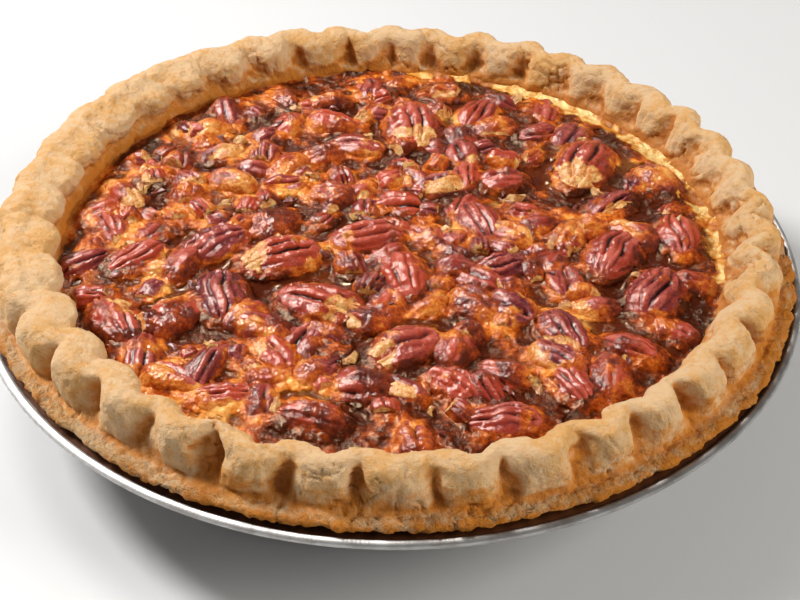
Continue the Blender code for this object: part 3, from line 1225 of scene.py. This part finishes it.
    def outward(self, points: Array) -> Array:
        """The directions that point straight out of the rings' surface."""
        down = np.gradient(points, axis=0)
        around = np.roll(points, -1, axis=1) - np.roll(points, 1, axis=1)
        normal = np.cross(around, down)
        normal /= np.maximum(np.linalg.norm(normal, axis=-1, keepdims=True), 1e-9)
        away = points * (1, 1, 0)
        return normal * np.sign((normal[-12, 0] * away[-12, 0]).sum())

    def toast(self, points: Array, share: Array, ledge: Array, relief: Array) -> Array:
        """How brown each point is painted: baked browning on the faces, ledge and thin edges, with
        painted shade on the outer face, less on the left where the key light falls, and on the inner
        wall at the left, which lies in the key light's shade.

        Args:
            points: The case's points.
            share: How far along the outline each ring is.
            ledge: 1 on the ledge.
            relief: The small lumps and pits.

        Returns:
            The toast mark, 0 to 1.
        """
        height, outside = points[..., 2], (share > 0.5)[:, None]
        low = step(self.rim + 9.0, self.rim + 3.0, height) * outside
        face = step(self.top - 1.0, self.top - 5.0, height) * outside
        edge = step(self.lip - 2.5, self.lip - 0.3, np.hypot(points[..., 0], points[..., 1]))
        patches = self.grain.layers(points, 12.0, 3, 50)
        left = step(-15.0, -75.0, points[..., 0])
        # Painted shade on the inner wall at the left, which the key light does not reach.
        wall = step(self.top - 3.0, self.top - 8.0, height) * (share < 0.45)[:, None]
        # The outer face is browned, a little more towards its bottom: partly baked browning, partly
        # painted shade, less on the left where the key light falls.
        baked = 0.08 + (0.5 * face + 0.1 * low) * (1 - 0.55 * left) + 0.02 * ledge + 0.38 * edge
        baked = baked + 0.4 * wall * left
        return np.clip(baked + 0.22 * patches + 0.3 * relief, 0, 1)


@dataclass(frozen=True)
class Seat:
    """Where a nut lies: its middle, its own axes, and its length, width and height in millimetres."""

    middle: Array
    along: Array
    across: Array
    up: Array
    length: float
    width: float
    height: float

    @classmethod
    def of_solid(cls, solid: bpy.types.Object) -> "Seat":
        """Reads the seat from a nut's plain solid, whose place is in its mesh."""
        points = np.array([vertex.co for vertex in solid.data.vertices]) / MM
        middle = points.mean(axis=0)
        _, axes = np.linalg.eigh(np.cov((points - middle).T))
        up = axes[:, 0] * np.sign(axes[2, 0])
        along = axes[:, 2]
        along = along - up * (along @ up)
        along /= np.linalg.norm(along)
        across = np.cross(up, along)
        lows = [(points @ axis).min() for axis in (along, across, up)]
        highs = [(points @ axis).max() for axis in (along, across, up)]
        centre = sum(axis * (low + high) / 2 for axis, low, high in zip((along, across), lows, highs))
        centre = centre + up * lows[2]
        length, width, height = (high - low for low, high in zip(lows, highs))
        return cls(centre, along, across, up, length, width, height)

    def to_pie(self, local: Array) -> Array:
        """Points given along, across and up the nut, as points of the pie."""
        return self.middle + local @ np.stack([self.along, self.across, self.up])


def nut_girth(u: Array) -> Array:
    """A pecan's half width along its length u, from -1 to 1, as a share of the widest."""
    return np.maximum(1 - np.abs(u) ** 2.3, 0) ** 0.56


class NutKind(Enum):
    """What a nut shows: its ridged back, its hollow face, or a piece broken across."""

    BACK = "back"
    FACE = "face"
    PIECE = "piece"


@dataclass(frozen=True)
class Roast:
    """How one nut baked.

    Its tone runs from red to plum, and its coat of froth and its wrinkles from none to 1. Its skin
    is chipped away to cream flesh on the side that faces the bearing chip, in degrees.
    """

    kind: NutKind = NutKind.PIECE
    tone: float = 0.4
    coat: float = 0.55
    wrinkle: float = 0.5
    chip: float | None = None


BACK, FACE = NutKind.BACK, NutKind.FACE
# The nuts' roasts, by their number in the order of the plain solids' names.
ROASTS = dict(enumerate((
    Roast(BACK, 0.25, 0.05, 0.3), Roast(BACK, 0.8, 0.05, 1.0), Roast(BACK, 1.0, 0.1, 0.1),
    Roast(BACK, 0.3, 0.1, 1.0, 190), Roast(BACK, 0.45, 0.3, 0.5), Roast(BACK, 0.25, 0.1, 0.7),
    Roast(BACK, 0.4, 0.1, 0.5, -35), Roast(FACE, 0.5, 0.0, 0.4, 200), Roast(BACK, 0.6, 0.0, 0.2),
    Roast(BACK, 0.35, 0.1, 0.5, -85), Roast(BACK, 0.45, 0.0, 0.3), Roast(BACK, 0.4, 0.15, 0.6, -110),
    Roast(BACK, 0.8, 0.1, 0.4, -50), Roast(BACK, 0.5, 0.0, 0.3), Roast(BACK, 0.3, 0.1, 0.3),
    Roast(BACK, 0.7, 0.0, 0.8), Roast(FACE, 0.5, 0.1, 0.4), Roast(BACK, 0.8, 0.0, 0.4, -105),
    Roast(BACK, 0.3, 0.3, 0.4), Roast(BACK, 0.1, 0.2, 0.9), Roast(BACK, 0.45, 0.05, 0.2),
    Roast(BACK, 0.35, 0.1, 0.4), Roast(BACK, 0.2, 0.4, 0.4), Roast(BACK, 0.2, 0.65, 0.5),
    Roast(FACE, 0.2, 0.3, 0.5, 170), Roast(BACK, 0.35, 0.6, 0.6, 60), Roast(FACE, 0.6, 0.1, 0.3),
    Roast(FACE, 0.5, 0.3, 0.4), Roast(BACK, 0.8, 0.2, 0.6), Roast(tone=0.2, coat=0.1),
    Roast(tone=0.2, coat=0.5, chip=-90), Roast(tone=0.8, coat=0.1), Roast(FACE, 0.4, 0.4, 0.3),
    Roast(BACK, 0.9, 0.0, 1.0), Roast(tone=0.2, coat=0.2), Roast(tone=0.9, coat=0.2),
    Roast(coat=0.8), Roast(coat=0.4, chip=-60), Roast(tone=0.2, chip=200),
), 1))


@dataclass
class Pecan:
    """One roasted pecan or piece of one, laid on its seat."""

    seat: Seat
    roast: Roast
    number: int
    sunk: float = 1.5
    fineness: float = 1.0
    grain: Grain = Grain(8)

    def furrows(self) -> list[tuple[float, float, float]]:
        """The furrows along the nut, as (share of its half width, width, depth in millimetres)."""
        sway = 0.1 * math.sin(self.number * 2.4)
        if self.roast.kind is NutKind.FACE:
            return [(sway, 0.19, 2.6), (0.58, 0.08, 0.5), (-0.58, 0.08, 0.5)]
        apart = 0.31 + 0.05 * math.sin(self.number * 1.1)
        return [(sway + apart, 0.085, 1.8), (sway - apart, 0.08, 1.7),
                (sway + 0.72, 0.09, 0.7), (sway - 0.72, 0.09, 0.7), (sway * 2, 0.06, 0.45)]

    def lattice(self) -> tuple[Array, Array]:
        """The points' places along the nut, from -1 to 1, and their turns round it.

        Returns:
            The places as a column and the turns as a row.
        """
        rows = max(22, round(2.1 * self.seat.length * self.fineness))
        columns = max(20, round(3.4 * self.seat.width * self.fineness))
        over = np.linspace(0, math.pi, columns, endpoint=False)
        under = np.linspace(math.pi, math.tau, max(6, columns // 4), endpoint=False)
        places = np.cos(np.linspace(0.03, math.pi - 0.03, rows))
        return places[:, None], np.concatenate([over, under])[None, :]

    def carve(self, across: Array) -> tuple[Array, Array]:
        """The furrows at places across the nut.

        Args:
            across: The places, as shares of the half width.

        Returns:
            How dark each place is, and how deep the cut is there in millimetres.
        """
        furrow, cut = np.zeros(across.shape), np.zeros(across.shape)
        for place, width, depth in self.furrows():
            off = np.abs(across - place) / width
            furrow = np.maximum(furrow, np.exp(-off**1.5) * min(depth / 1.4, 1.0))
            cut += depth * (0.3 * np.exp(-((off / 2.6) ** 2)) + 0.7 * np.exp(-off**1.4))
        return furrow, cut

    def shape(self) -> Body:
        """Shapes the nut round its length and lays it on its seat.

        Returns:
            The nut as a closed body with the marks that its finish reads.
        """
        seat, roast, noise = self.seat, self.roast, self.grain.layers
        u, turn = self.lattice()
        top = (np.sin(turn) > -1e-6).astype(float)
        blunt = 0.14 * math.sin(self.number * 1.9)
        girth = nut_girth(np.clip(u + blunt * (1 - u**2), -1, 1))
        side, rise = np.cos(turn) + 0 * u, np.sin(turn) + 0 * u
        boxy = 0.62 if roast.kind is NutKind.FACE else 0.85
        tall = np.where(rise > 0, seat.height * np.abs(rise) ** boxy, 2.2 * rise)
        local = np.stack([u * seat.length / 2 + 0 * side, side * girth * seat.width / 2,
                          tall * girth**0.8], axis=-1)
        own = local + self.number * 31.7
        wander = noise(own * (1, 0.4, 0.4), 8.0, 2, 80)
        across = side + 0.24 * wander + 0.1 * math.sin(self.number * 1.7) * (u**2 - 0.3)
        length_share = step(1.02, 0.7, np.abs(u + 0.1 * math.sin(self.number * 2.9)))
        furrow, cut = self.carve(across)
        lasting = length_share * top * (0.75 + 0.7 * noise(own, 6.0, 2, 84))
        furrow, cut = furrow * lasting, cut * lasting
        lines = noise(own * (0.22, 1, 1), 1.8, 2, 82)
        crumple = 1 - 2 * np.abs(noise(own * (1.0, 0.5, 0.5), 3.0, 2, 81))
        flank = step(0.72, 0.2, rise * girth**0.6)
        coat = 1.3 * flank + roast.coat + 0.3 + 1.0 * noise(own, 5.0, 3, 85)
        film = step(0.5, 1.0, coat)
        flesh = self.chipped(local)
        push = -cut * (1 - 0.3 * film) + 0.8 * noise(own, 6.5, 3, 83) + 0.42 * lines * top
        push = push + (0.2 + 0.6 * roast.wrinkle) * crumple * top + 0.35 * film
        push = push - flesh * (0.8 - 0.4 * noise(own, 2.2, 2, 86))
        local = local + np.stack([0 * side, side, rise], axis=-1) * (push * girth**0.3)[..., None]
        if roast.kind is NutKind.PIECE:
            local, broken = self.break_off(local)
            flesh = np.maximum(flesh, broken)
        local[..., 2] -= self.sunk
        marks = {
            # Furrows and low lines: partly the skin's own darker colour, partly painted shade.
            "furrow": np.clip(furrow, 0, 1) * (1 - 0.4 * film) * (1 - flesh),
            "lines": np.clip(-lines, 0, 1),
            # Painted highlight: higher on the top of the nut that faces up and on its raised lines,
            # lower in the furrows.
            "ridge": np.clip(0.35 + 0.5 * rise + 0.25 * lines - furrow, 0, 1),
            "film": film * (1 - 0.85 * flesh),
            "flesh": flesh,
            "tone": np.clip(roast.tone + 0.25 * wander, 0, 1),
        }
        rings = seat.to_pie(local)
        points = [seat.to_pie(local[row].mean(axis=0)) for row in (0, -1)]
        return Body.lathe(rings[::-1], points[1], points[0],
                          {mark: value[::-1] for mark, value in marks.items()})

    def chipped(self, local: Array) -> Array:
        """Where the skin is chipped away on the side that the roast names, 0 to 1."""
        if self.roast.chip is None:
            return np.zeros(local.shape[:-1])
        seat, bearing = self.seat, math.radians(self.roast.chip)
        toward = np.array((math.cos(bearing), math.sin(bearing), 0.0))
        along, across = float(toward @ seat.along), float(toward @ seat.across)
        reach = math.hypot(along * seat.length / 2, across * seat.width / 2)
        place = (local[..., 0] * along + local[..., 1] * across) / reach
        aside = (local[..., 1] * along - local[..., 0] * across) / (0.3 * seat.length)
        spot = place - 0.25 * aside**2 + 0.22 * self.grain.layers(local + self.number, 3.2, 2, 87)
        return step(0.22, 0.36, spot) * step(0.25, 0.5, local[..., 2] / seat.height)

    def build(self, finish: bpy.types.Material) -> bpy.types.Object:
        """Makes the nut an object of its own."""
        word = "broken" if self.roast.kind is NutKind.PIECE else "roasted"
        return self.shape().make(f"{word}_pecan_{self.number:02d}", finish)

    def break_off(self, local: Array) -> tuple[Array, Array]:
        """Breaks the nut across at both ends, where cream flesh then shows.

        Args:
            local: Points along, across and up the nut.

        Returns:
            The points with what lay past the breaks pressed onto them, and the flesh mark.
        """
        rough = self.grain.layers(local + self.number * 9.0, 1.8, 3, 70)
        x, y, z = local[..., 0], local[..., 1], local[..., 2]
        slant = 0.35 * math.sin(self.number * 1.3)
        far = 0.34 * self.seat.length + slant * y - 0.35 * z + 0.8 * rough
        near = -0.4 * self.seat.length + slant * y + 0.3 * z + 0.6 * rough
        cut = np.clip(x, near, far)
        return np.stack([cut, y, z], axis=-1), step(0.15, 0.6, np.abs(x - cut))


@dataclass
class SunkenPecans:
    """Further nuts that lie between the large ones, mostly under the froth.

    Those shorter than whole are broken pieces. The share called chipped shows cream flesh.
    """

    taken: Sequence[Seat]
    count: int = 130
    reach: float = 92.0
    level: float = 37.2
    tries: int = 20000
    shortest: float = 10.0
    longest: float = 25.0
    whole: float = 15.0
    chipped: float = 0.16
    first_number: int = 60
    seed: int = 3

    def seats(self) -> list[Seat]:
        """Where they lie: at random, tilted, in the gaps between the nuts already laid."""
        chance = np.random.default_rng(self.seed)
        spots = [(seat.middle[0], seat.middle[1], 0.3 * seat.length) for seat in self.taken]
        found: list[Seat] = []
        for _ in range(self.tries):
            if len(found) == self.count:
                break
            turn, distance = chance.uniform(0, math.tau), self.reach * math.sqrt(chance.random())
            length = chance.uniform(self.shortest, self.longest)
            x, y = distance * math.cos(turn), distance * math.sin(turn)
            near = 0.17 * length
            if any(math.hypot(x - a, y - b) < near + c for a, b, c in spots):
                continue
            spots.append((x, y, near))
            spin = Matrix.Rotation(chance.uniform(0, math.tau), 3, "Z")
            lean = Matrix.Rotation(chance.uniform(-0.35, 0.35), 3, "Y")
            roll = Matrix.Rotation(chance.uniform(-0.5, 0.5), 3, "X")
            along, across, up = np.array(spin @ lean @ roll).T
            height = chance.uniform(0.24, 0.3) * length + 1.2
            z = self.level - height + chance.uniform(3.2, 5.6) - 1.2 * (distance / self.reach) ** 4
            found.append(Seat(np.array([x, y, z]), along, across, up,
                              length, chance.uniform(0.52, 0.68) * length, height))
        return found

    def build(self, finish: bpy.types.Material) -> tuple[bpy.types.Object, list[Seat]]:
        """Shapes them all as one piece.

        Args:
            finish: The pecans' material.

        Returns:
            The piece, and the seats of its nuts.
        """
        chance = np.random.default_rng(self.seed + 1)
        seats = self.seats()
        bodies = []
        for number, seat in enumerate(seats, self.first_number):
            kind = NutKind.PIECE if seat.length < self.whole else (FACE if number % 4 == 0 else BACK)
            chip = chance.uniform(-150, -30) if chance.random() < self.chipped else None
            ranges = ((0.0, 1.0), (0.15, 0.85), (0.2, 1.0))
            roast = Roast(kind, *(chance.uniform(*limits) for limits in ranges), chip)
            bodies.append(Pecan(seat, roast, number, sunk=0.0, fineness=0.62).shape())
        return Body.join(bodies).make("sunken_pecans", finish), seats


@dataclass
class Filling:
    """The baked filling: a frothy skin that rides up the nuts, with syrup in its hollows, painted dark
    partly for the syrup and partly as painted shade.

    Its skin stands at level, crown higher in the middle, and dips into the seam along the crust.
    """

    seats: Sequence[Seat]
    sunken: Sequence[Seat]
    radius: float = 102.6
    level: float = 37.3
    crown: float = 1.4
    floor: float = 4.9
    seam: float = 95.5
    grid: int = 312
    grain: Grain = Grain(4)

    def disc(self) -> tuple[Array, Array]:
        """A square grid's points spread evenly over the disc."""
        side = np.linspace(-1, 1, self.grid + 1)
        a, b = np.meshgrid(side, side, indexing="ij")
        wide = np.abs(a) > np.abs(b)
        safe_a, safe_b = np.where(a == 0, 1, a), np.where(b == 0, 1, b)
        radius = np.where(wide, a, b)
        turn = np.where(wide, math.pi / 4 * b / safe_a, math.pi / 2 - math.pi / 4 * a / safe_b)
        turn = np.where((a == 0) & (b == 0), 0, turn)
        return self.radius * radius * np.cos(turn), self.radius * radius * np.sin(turn)

    def mound(self, x: Array, y: Array, seat: Seat, spread: float) -> Array:
        """How high a smooth mound over a nut's footprint stands, as a share of the nut's height.

        Args:
            x: Places across the pie.
            y: Places along the pie.
            seat: Where the nut lies.
            spread: How much wider than the nut the mound is.

        Returns:
            The share, 0 outside the mound.
        """
        dx, dy = x - seat.middle[0], y - seat.middle[1]
        u = (dx * seat.along[0] + dy * seat.along[1]) / (seat.length / 2 + spread)
        v = (dx * seat.across[0] + dy * seat.across[1]) / (seat.width / 2 + spread)
        return np.sqrt(np.maximum(1 - np.abs(u) ** 2.3 - np.abs(v) ** 2, 0))

    def lift(self, x: Array, y: Array, cling: Array) -> Array:
        """How far the skin rides up the nuts.

        Args:
            x: Places across the pie.
            y: Places along the pie.
            cling: How well the froth clings at each place, from about 0 to 1.

        Returns:
            The lift at each place, in millimetres.
        """
        lift = np.zeros_like(x)
        for seat in self.seats:
            share = 0.42 * seat.height * np.minimum(1.5 * self.mound(x, y, seat, 2.0), 1.0)
            lift = np.maximum(lift, share * (0.6 + 0.8 * cling))
        for seat in self.sunken:
            share = 1.5 * np.minimum(1.4 * self.mound(x, y, seat, 1.0), 1.0)
            lift = np.maximum(lift, share * (0.45 + 0.9 * cling))
        return lift

    def blur(self, values: Array, reach_mm: float) -> Array:
        """The values smoothed over about reach_mm."""
        spacing = 2 * self.radius / self.grid
        return smooth(values, max(1, round(reach_mm / spacing / 2)), 3, ("edge", "edge"))

    def build(self, finish: bpy.types.Material) -> bpy.types.Object:
        """Raises the skin round the nuts, marks its colours and closes the body under it.

        Args:
            finish: The filling's material.

        Returns:
            The filling.
        """
        x, y = self.disc()
        radius = np.hypot(x, y)
        bearing = np.arctan2(y, x)
        spots = flat_points(x, y)
        base = self.level + self.crown * (1 - (radius / self.radius) ** 2)
        left = step(0.2, 0.9, -np.cos(bearing - 0.3))
        bare = self.widest(bearing)
        start = self.seam - 1.5 * left - 2.5 * bare
        margin = step(start, start + 5.0, radius + 2.6 * self.grain.layers(spots, 11.0, 3, 5))
        cling = 0.5 + 0.4 * self.grain.layers(spots, 9.0, 2, 6)
        lift = self.blur(self.lift(x, y, cling), 1.0) * (1 - margin)
        froth = 0.5 * self.grain.layers(spots, 7.0, 3, 31) + 0.25 * self.grain.layers(spots, 2.4, 2, 32)
        blisters = step(0.5, 0.1, self.grain.cells(spots, 3.0, 33)) * 0.3
        pits = step(0.3, 0.1, self.grain.cells(spots, 6.5, 37)) * 0.9
        rise = lift + (froth + blisters - pits) * (1 - 0.6 * margin)
        recess = self.blur(rise, 6.0) - rise
        still = 0.85 * step(0.2, 1.0, recess)
        rise = rise * (1 - still) + self.blur(rise, 2.2) * still
        west = step(45, -75, x + 0.35 * y)
        height = base - 0.6 + rise - 0.3 * step(0.4, 1.6, recess)
        height -= (0.5 + 0.7 * left) * step(self.seam - 2.0, self.seam + 1.5, radius)
        height += 1.4 * step(self.seam + 1.0, self.seam + 5.5, radius)
        custard = self.custard(bare, radius, spots)
        marks = {
            "skin": step(1.6, 3.0, lift) * (1 - margin),
            # Deeper hollows get more of the dark syrup colour: partly syrup pooled there, partly
            # painted shade.
            "pool_and_shade": np.clip(0.2 + 0.95 * recess, 0, 1) * (1 - 0.8 * margin),
            "gold": np.clip(0.33 + 0.1 * west + 0.04 * rise, 0, 1),
            "custard": custard,
            "trough": step(0.35, 0.95, margin) * (1 - custard) * 0.85,
        }
        made = self.close(x, y, height, marks)
        made.data.materials.append(finish)
        return made

    def widest(self, bearing: Array) -> Array:
        """How much of the seam is bare custard: none but at the back right."""
        off = np.abs(np.angle(np.exp(1j * (bearing - math.radians(37)))))
        return step(math.radians(60), math.radians(22), off)

    def custard(self, bare: Array, radius: Array, spots: Array) -> Array:
        """Where pale custard shows in patches between the froth and the crust."""
        inner = self.seam + 2.1 - 4.2 * bare + 4.2 * self.grain.layers(spots, 6.0, 4, 44)
        patches = step(-0.4, 0.1, 1.4 * self.grain.layers(spots, 8.0, 3, 46) + 0.45 * bare - 0.4)
        return step(0.0, 1.6, radius - inner) * patches * step(0.0, 0.3, bare)

    def close(self, x: Array, y: Array, height: Array, marks: dict[str, Array]) -> bpy.types.Object:
        """Joins the skin to a plain wall and floor, as one closed body.

        Args:
            x: The skin's places across the pie.
            y: The skin's places along the pie.
            height: The skin's heights.
            marks: The skin's marks.

        Returns:
            The filling.
        """
        count = self.grid + 1
        index = np.arange(count * count).reshape(count, count)
        quads = np.stack([index[:-1, :-1], index[1:, :-1], index[1:, 1:], index[:-1, 1:]], axis=-1)
        rim = np.concatenate([index[:-1, 0], index[-1, :-1], index[:0:-1, -1], index[0, :0:-1]])
        top = np.stack([x, y, height], axis=-1).reshape(-1, 3)
        wall = top[rim] * (0.882, 0.882, 0) + (0, 0, self.floor)
        low = len(top) + np.arange(len(rim))
        sides = np.stack([rim, low, np.roll(low, -1), np.roll(rim, -1)], axis=-1)
        points = np.concatenate([top, wall, [(0, 0, self.floor)]])
        fan = np.stack([low, np.full(len(low), len(points) - 1), np.roll(low, -1)], axis=-1)
        all_marks = {
            mark: np.concatenate([value.ravel(), np.zeros(len(rim) + 1)])
            for mark, value in marks.items()
        }
        faces = np.concatenate([quads.reshape(-1, 4), sides])
        return mesh_object("frothy_filling", points, faces, fan, all_marks)


@dataclass
class Crumbs:
    """Small broken pecan strewn over the filling by Geometry Nodes.

    It lies within reach of the axis and above level. Density is the most crumbs a square metre.
    """

    name: str
    finish: Crumb
    seed: int
    apart: float
    smallest: float
    largest: float
    reach: float = 91.0
    level: float = 36.0
    density: float = 60000.0
    grain: float = 420.0

    def build(self, host: bpy.types.Object) -> bpy.types.Object:
        """Strews the crumbs over the host's skin.

        Args:
            host: The filling.

        Returns:
            All the crumbs of this kind as one piece.
        """
        tree = GeometryTree(self.name, {
            "Apart": self.apart * MM, "Smallest": self.smallest * MM, "Largest": self.largest * MM,
            "Seed": self.seed, "Reach": self.reach * MM, "Level": self.level * MM})
        spot = tree.add("GeometryNodeInputPosition")
        x, y, z = tree.parts(spot)
        distance = (x * x + y * y) ** 0.5
        near = distance.maths("LESS_THAN", tree.size("Reach"))
        inside = near * z.maths("GREATER_THAN", tree.size("Level"))
        points = tree.add("GeometryNodeDistributePointsOnFaces", {"distribute_method": "POISSON"}, {
            "Mesh": tree.size("Geometry"), "Distance Min": tree.size("Apart"),
            "Density Max": self.density, "Density Factor": inside, "Seed": tree.size("Seed")})
        ball = tree.add("GeometryNodeMeshIcoSphere", None, {"Radius": 1.0, "Subdivisions": 2})
        spin = tree.add("FunctionNodeRandomValue", {"data_type": "FLOAT_VECTOR"},
                        {0: (-0.5, -0.5, 0.0), 1: (0.5, 0.5, math.tau), "Seed": self.seed + 1})
        size = tree.add("FunctionNodeRandomValue", {"data_type": "FLOAT"},
                        {2: tree.size("Smallest"), 3: tree.size("Largest"), "Seed": self.seed + 2}, 1)
        shape = tree.vector(size, size * 0.45, size * 0.3)
        laid = tree.add("GeometryNodeInstanceOnPoints", None,
                        {"Points": points, "Instance": ball, "Rotation": spin, "Scale": shape})
        real = tree.add("GeometryNodeRealizeInstances", None, {"Geometry": laid})
        grain = {"Vector": spot, "Scale": self.grain, "Detail": 2.0}
        noise = tree.add("ShaderNodeTexNoise", None, grain, "Color")
        even = tree.add("ShaderNodeVectorMath", {"operation": "SUBTRACT"},
                        {0: noise, 1: (0.5, 0.5, 0.5)})
        shove = tree.add("ShaderNodeVectorMath", {"operation": "SCALE"},
                         {0: even, "Scale": self.largest * 1.5 * MM})
        broken = tree.add("GeometryNodeSetPosition", None, {"Geometry": real, "Offset": shove})
        tree.close(broken, self.finish.make())
        return tree.grow(self.name, host.data.copy())


@dataclass
class Studio:
    """The floor, the soft lights and the camera."""

    eye: Vector = field(default_factory=lambda: Vector((0.0, -0.4202, 0.3391)))
    yaw: float = 0.389
    pitch: float = 37.74
    roll: float = 1.04
    lens: float = 77.5
    floor_reach: float = 4.0
    backdrop: Colour = (0.62, 0.63, 0.64)

    def build(self) -> None:
        """Sets the whole stage."""
        self.set_camera()
        self.set_floor()
        self.set_light("key", (-0.78, 0.32, 0.82), size=0.3, power=17.0, colour=(1.0, 0.98, 0.96))
        fill = self.set_light("fill", (1.1, -0.34, 0.74), size=0.8, power=14.5, colour=(1.0, 0.96, 0.9))
        fill.visible_glossy = False
        glint = self.set_light(
            "glint", (-0.5, 0.6, 1.1), size=0.42, power=35.0, colour=(1.0, 0.96, 0.92))
        glint.visible_diffuse = False
        self.set_sky()
        bpy.context.scene.view_settings.view_transform = "Standard"

    def set_camera(self) -> None:
        """Stands the camera where it looks down on the pie from the front."""
        yaw, pitch, roll = (math.radians(v) for v in (self.yaw, self.pitch, self.roll))
        ahead = Vector((
            math.sin(yaw) * math.cos(pitch), math.cos(yaw) * math.cos(pitch), -math.sin(pitch),
        ))
        level = ahead.cross(Vector((0, 0, 1))).normalized()
        upright = level.cross(ahead)
        right = level * math.cos(roll) + upright * math.sin(roll)
        up = upright * math.cos(roll) - level * math.sin(roll)
        data = bpy.data.cameras.new("camera")
        data.lens = self.lens
        data.sensor_width = 36.0
        data.clip_start = 0.01
        camera = bpy.data.objects.new("camera", data)
        camera.matrix_world = Matrix((
            (right.x, up.x, -ahead.x, self.eye.x),
            (right.y, up.y, -ahead.y, self.eye.y),
            (right.z, up.z, -ahead.z, self.eye.z),
            (0, 0, 0, 1),
        ))
        bpy.context.scene.collection.objects.link(camera)
        bpy.context.scene.camera = camera

    def set_floor(self) -> None:
        """Lays a wide pale floor under the tin."""
        mesh = bpy.data.meshes.new("floor")
        far = self.floor_reach
        corners = [(-far, -far, 0), (far, -far, 0), (far, far, 0), (-far, far, 0)]
        mesh.from_pydata(corners, [], [(0, 1, 2, 3)])
        floor = bpy.data.objects.new("floor", mesh)
        bpy.context.scene.collection.objects.link(floor)
        dress = Dress("pale_floor")
        cloud = dress.noise(400.0, 2.0)
        colour = dress.blend(cloud, self.backdrop, tuple(0.97 * part for part in self.backdrop))
        mesh.materials.append(dress.finish({"Roughness": 0.6}, {"Base Color": colour}))

    def set_light(
        self, name: str, place: Sequence[float], size: float, power: float, colour: Colour
    ) -> bpy.types.Object:
        """Hangs one round lamp that faces the pie.

        Args:
            name: The lamp's name.
            place: Where it hangs, in metres.
            size: Its diameter, in metres.
            power: Its power, in watts.
            colour: Its colour.

        Returns:
            The lamp.
        """
        data = bpy.data.lights.new(name, "AREA")
        data.shape = "DISK"
        data.size = size
        data.energy = power
        data.color = colour
        lamp = bpy.data.objects.new(name, data)
        lamp.location = place
        lamp.rotation_euler = (Vector((0, 0, 0.04)) - lamp.location).to_track_quat("-Z", "Y").to_euler()
        bpy.context.scene.collection.objects.link(lamp)
        return lamp

    def set_sky(self) -> None:
        """Lights everything softly from all round."""
        world = bpy.data.worlds.new("soft_room")
        world.use_nodes = True
        background = world.node_tree.nodes["Background"]
        background.inputs["Color"].default_value = (1.0, 0.975, 0.94, 1.0)
        background.inputs["Strength"].default_value = 0.19
        bpy.context.scene.world = world


def lay_pecans(finish: bpy.types.Material) -> list[Seat]:
    """Makes every pecan that shows in place of its plain solid.

    Args:
        finish: The pecans' material.

    Returns:
        Their seats.
    """
    seats = []
    names = sorted(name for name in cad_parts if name.startswith("pecan_"))
    for number, name in enumerate(names, 1):
        seat = Seat.of_solid(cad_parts[name])
        roast = ROASTS.get(number, Roast(tone=number * 0.37 % 1))
        sunk = 0.9 if "piece" in name else 1.5
        settle(Pecan(seat, roast, number, sunk).build(finish), "pecan", name)
        seats.append(seat)
    return seats


def main() -> None:
    """Builds the stage and every piece of the pie in order."""
    logging.basicConfig(level=logging.INFO, format="%(name)s: %(message)s")
    Studio().build()
    settle(FoilTin().build(PressedFoil().make()), "foil", "foil_tin")
    settle(PastryCase().build(BakedPastry().make()), "pastry", "pastry_case")
    nut_skin = RoastedPecan().make()
    seats = lay_pecans(nut_skin)
    extra, sunken = SunkenPecans(seats).build(nut_skin)
    settle(extra, "pecan")
    filling = Filling(seats, sunken).build(BakedSyrup().make())
    pale = Crumb("pale_crumb", srgb(226, 180, 108), srgb(176, 108, 54))
    dark = Crumb("dark_crumb", srgb(140, 60, 38), srgb(92, 38, 24))
    for crumbs in (Crumbs("pale_pecan_crumbs", pale, 7, 26.0, 1.6, 4.6),
                   Crumbs("dark_pecan_crumbs", dark, 19, 20.0, 1.4, 3.2)):
        settle(crumbs.build(filling), "pecan")
    settle(filling, "filling", "filling")


if __name__ == "__main__":
    main()
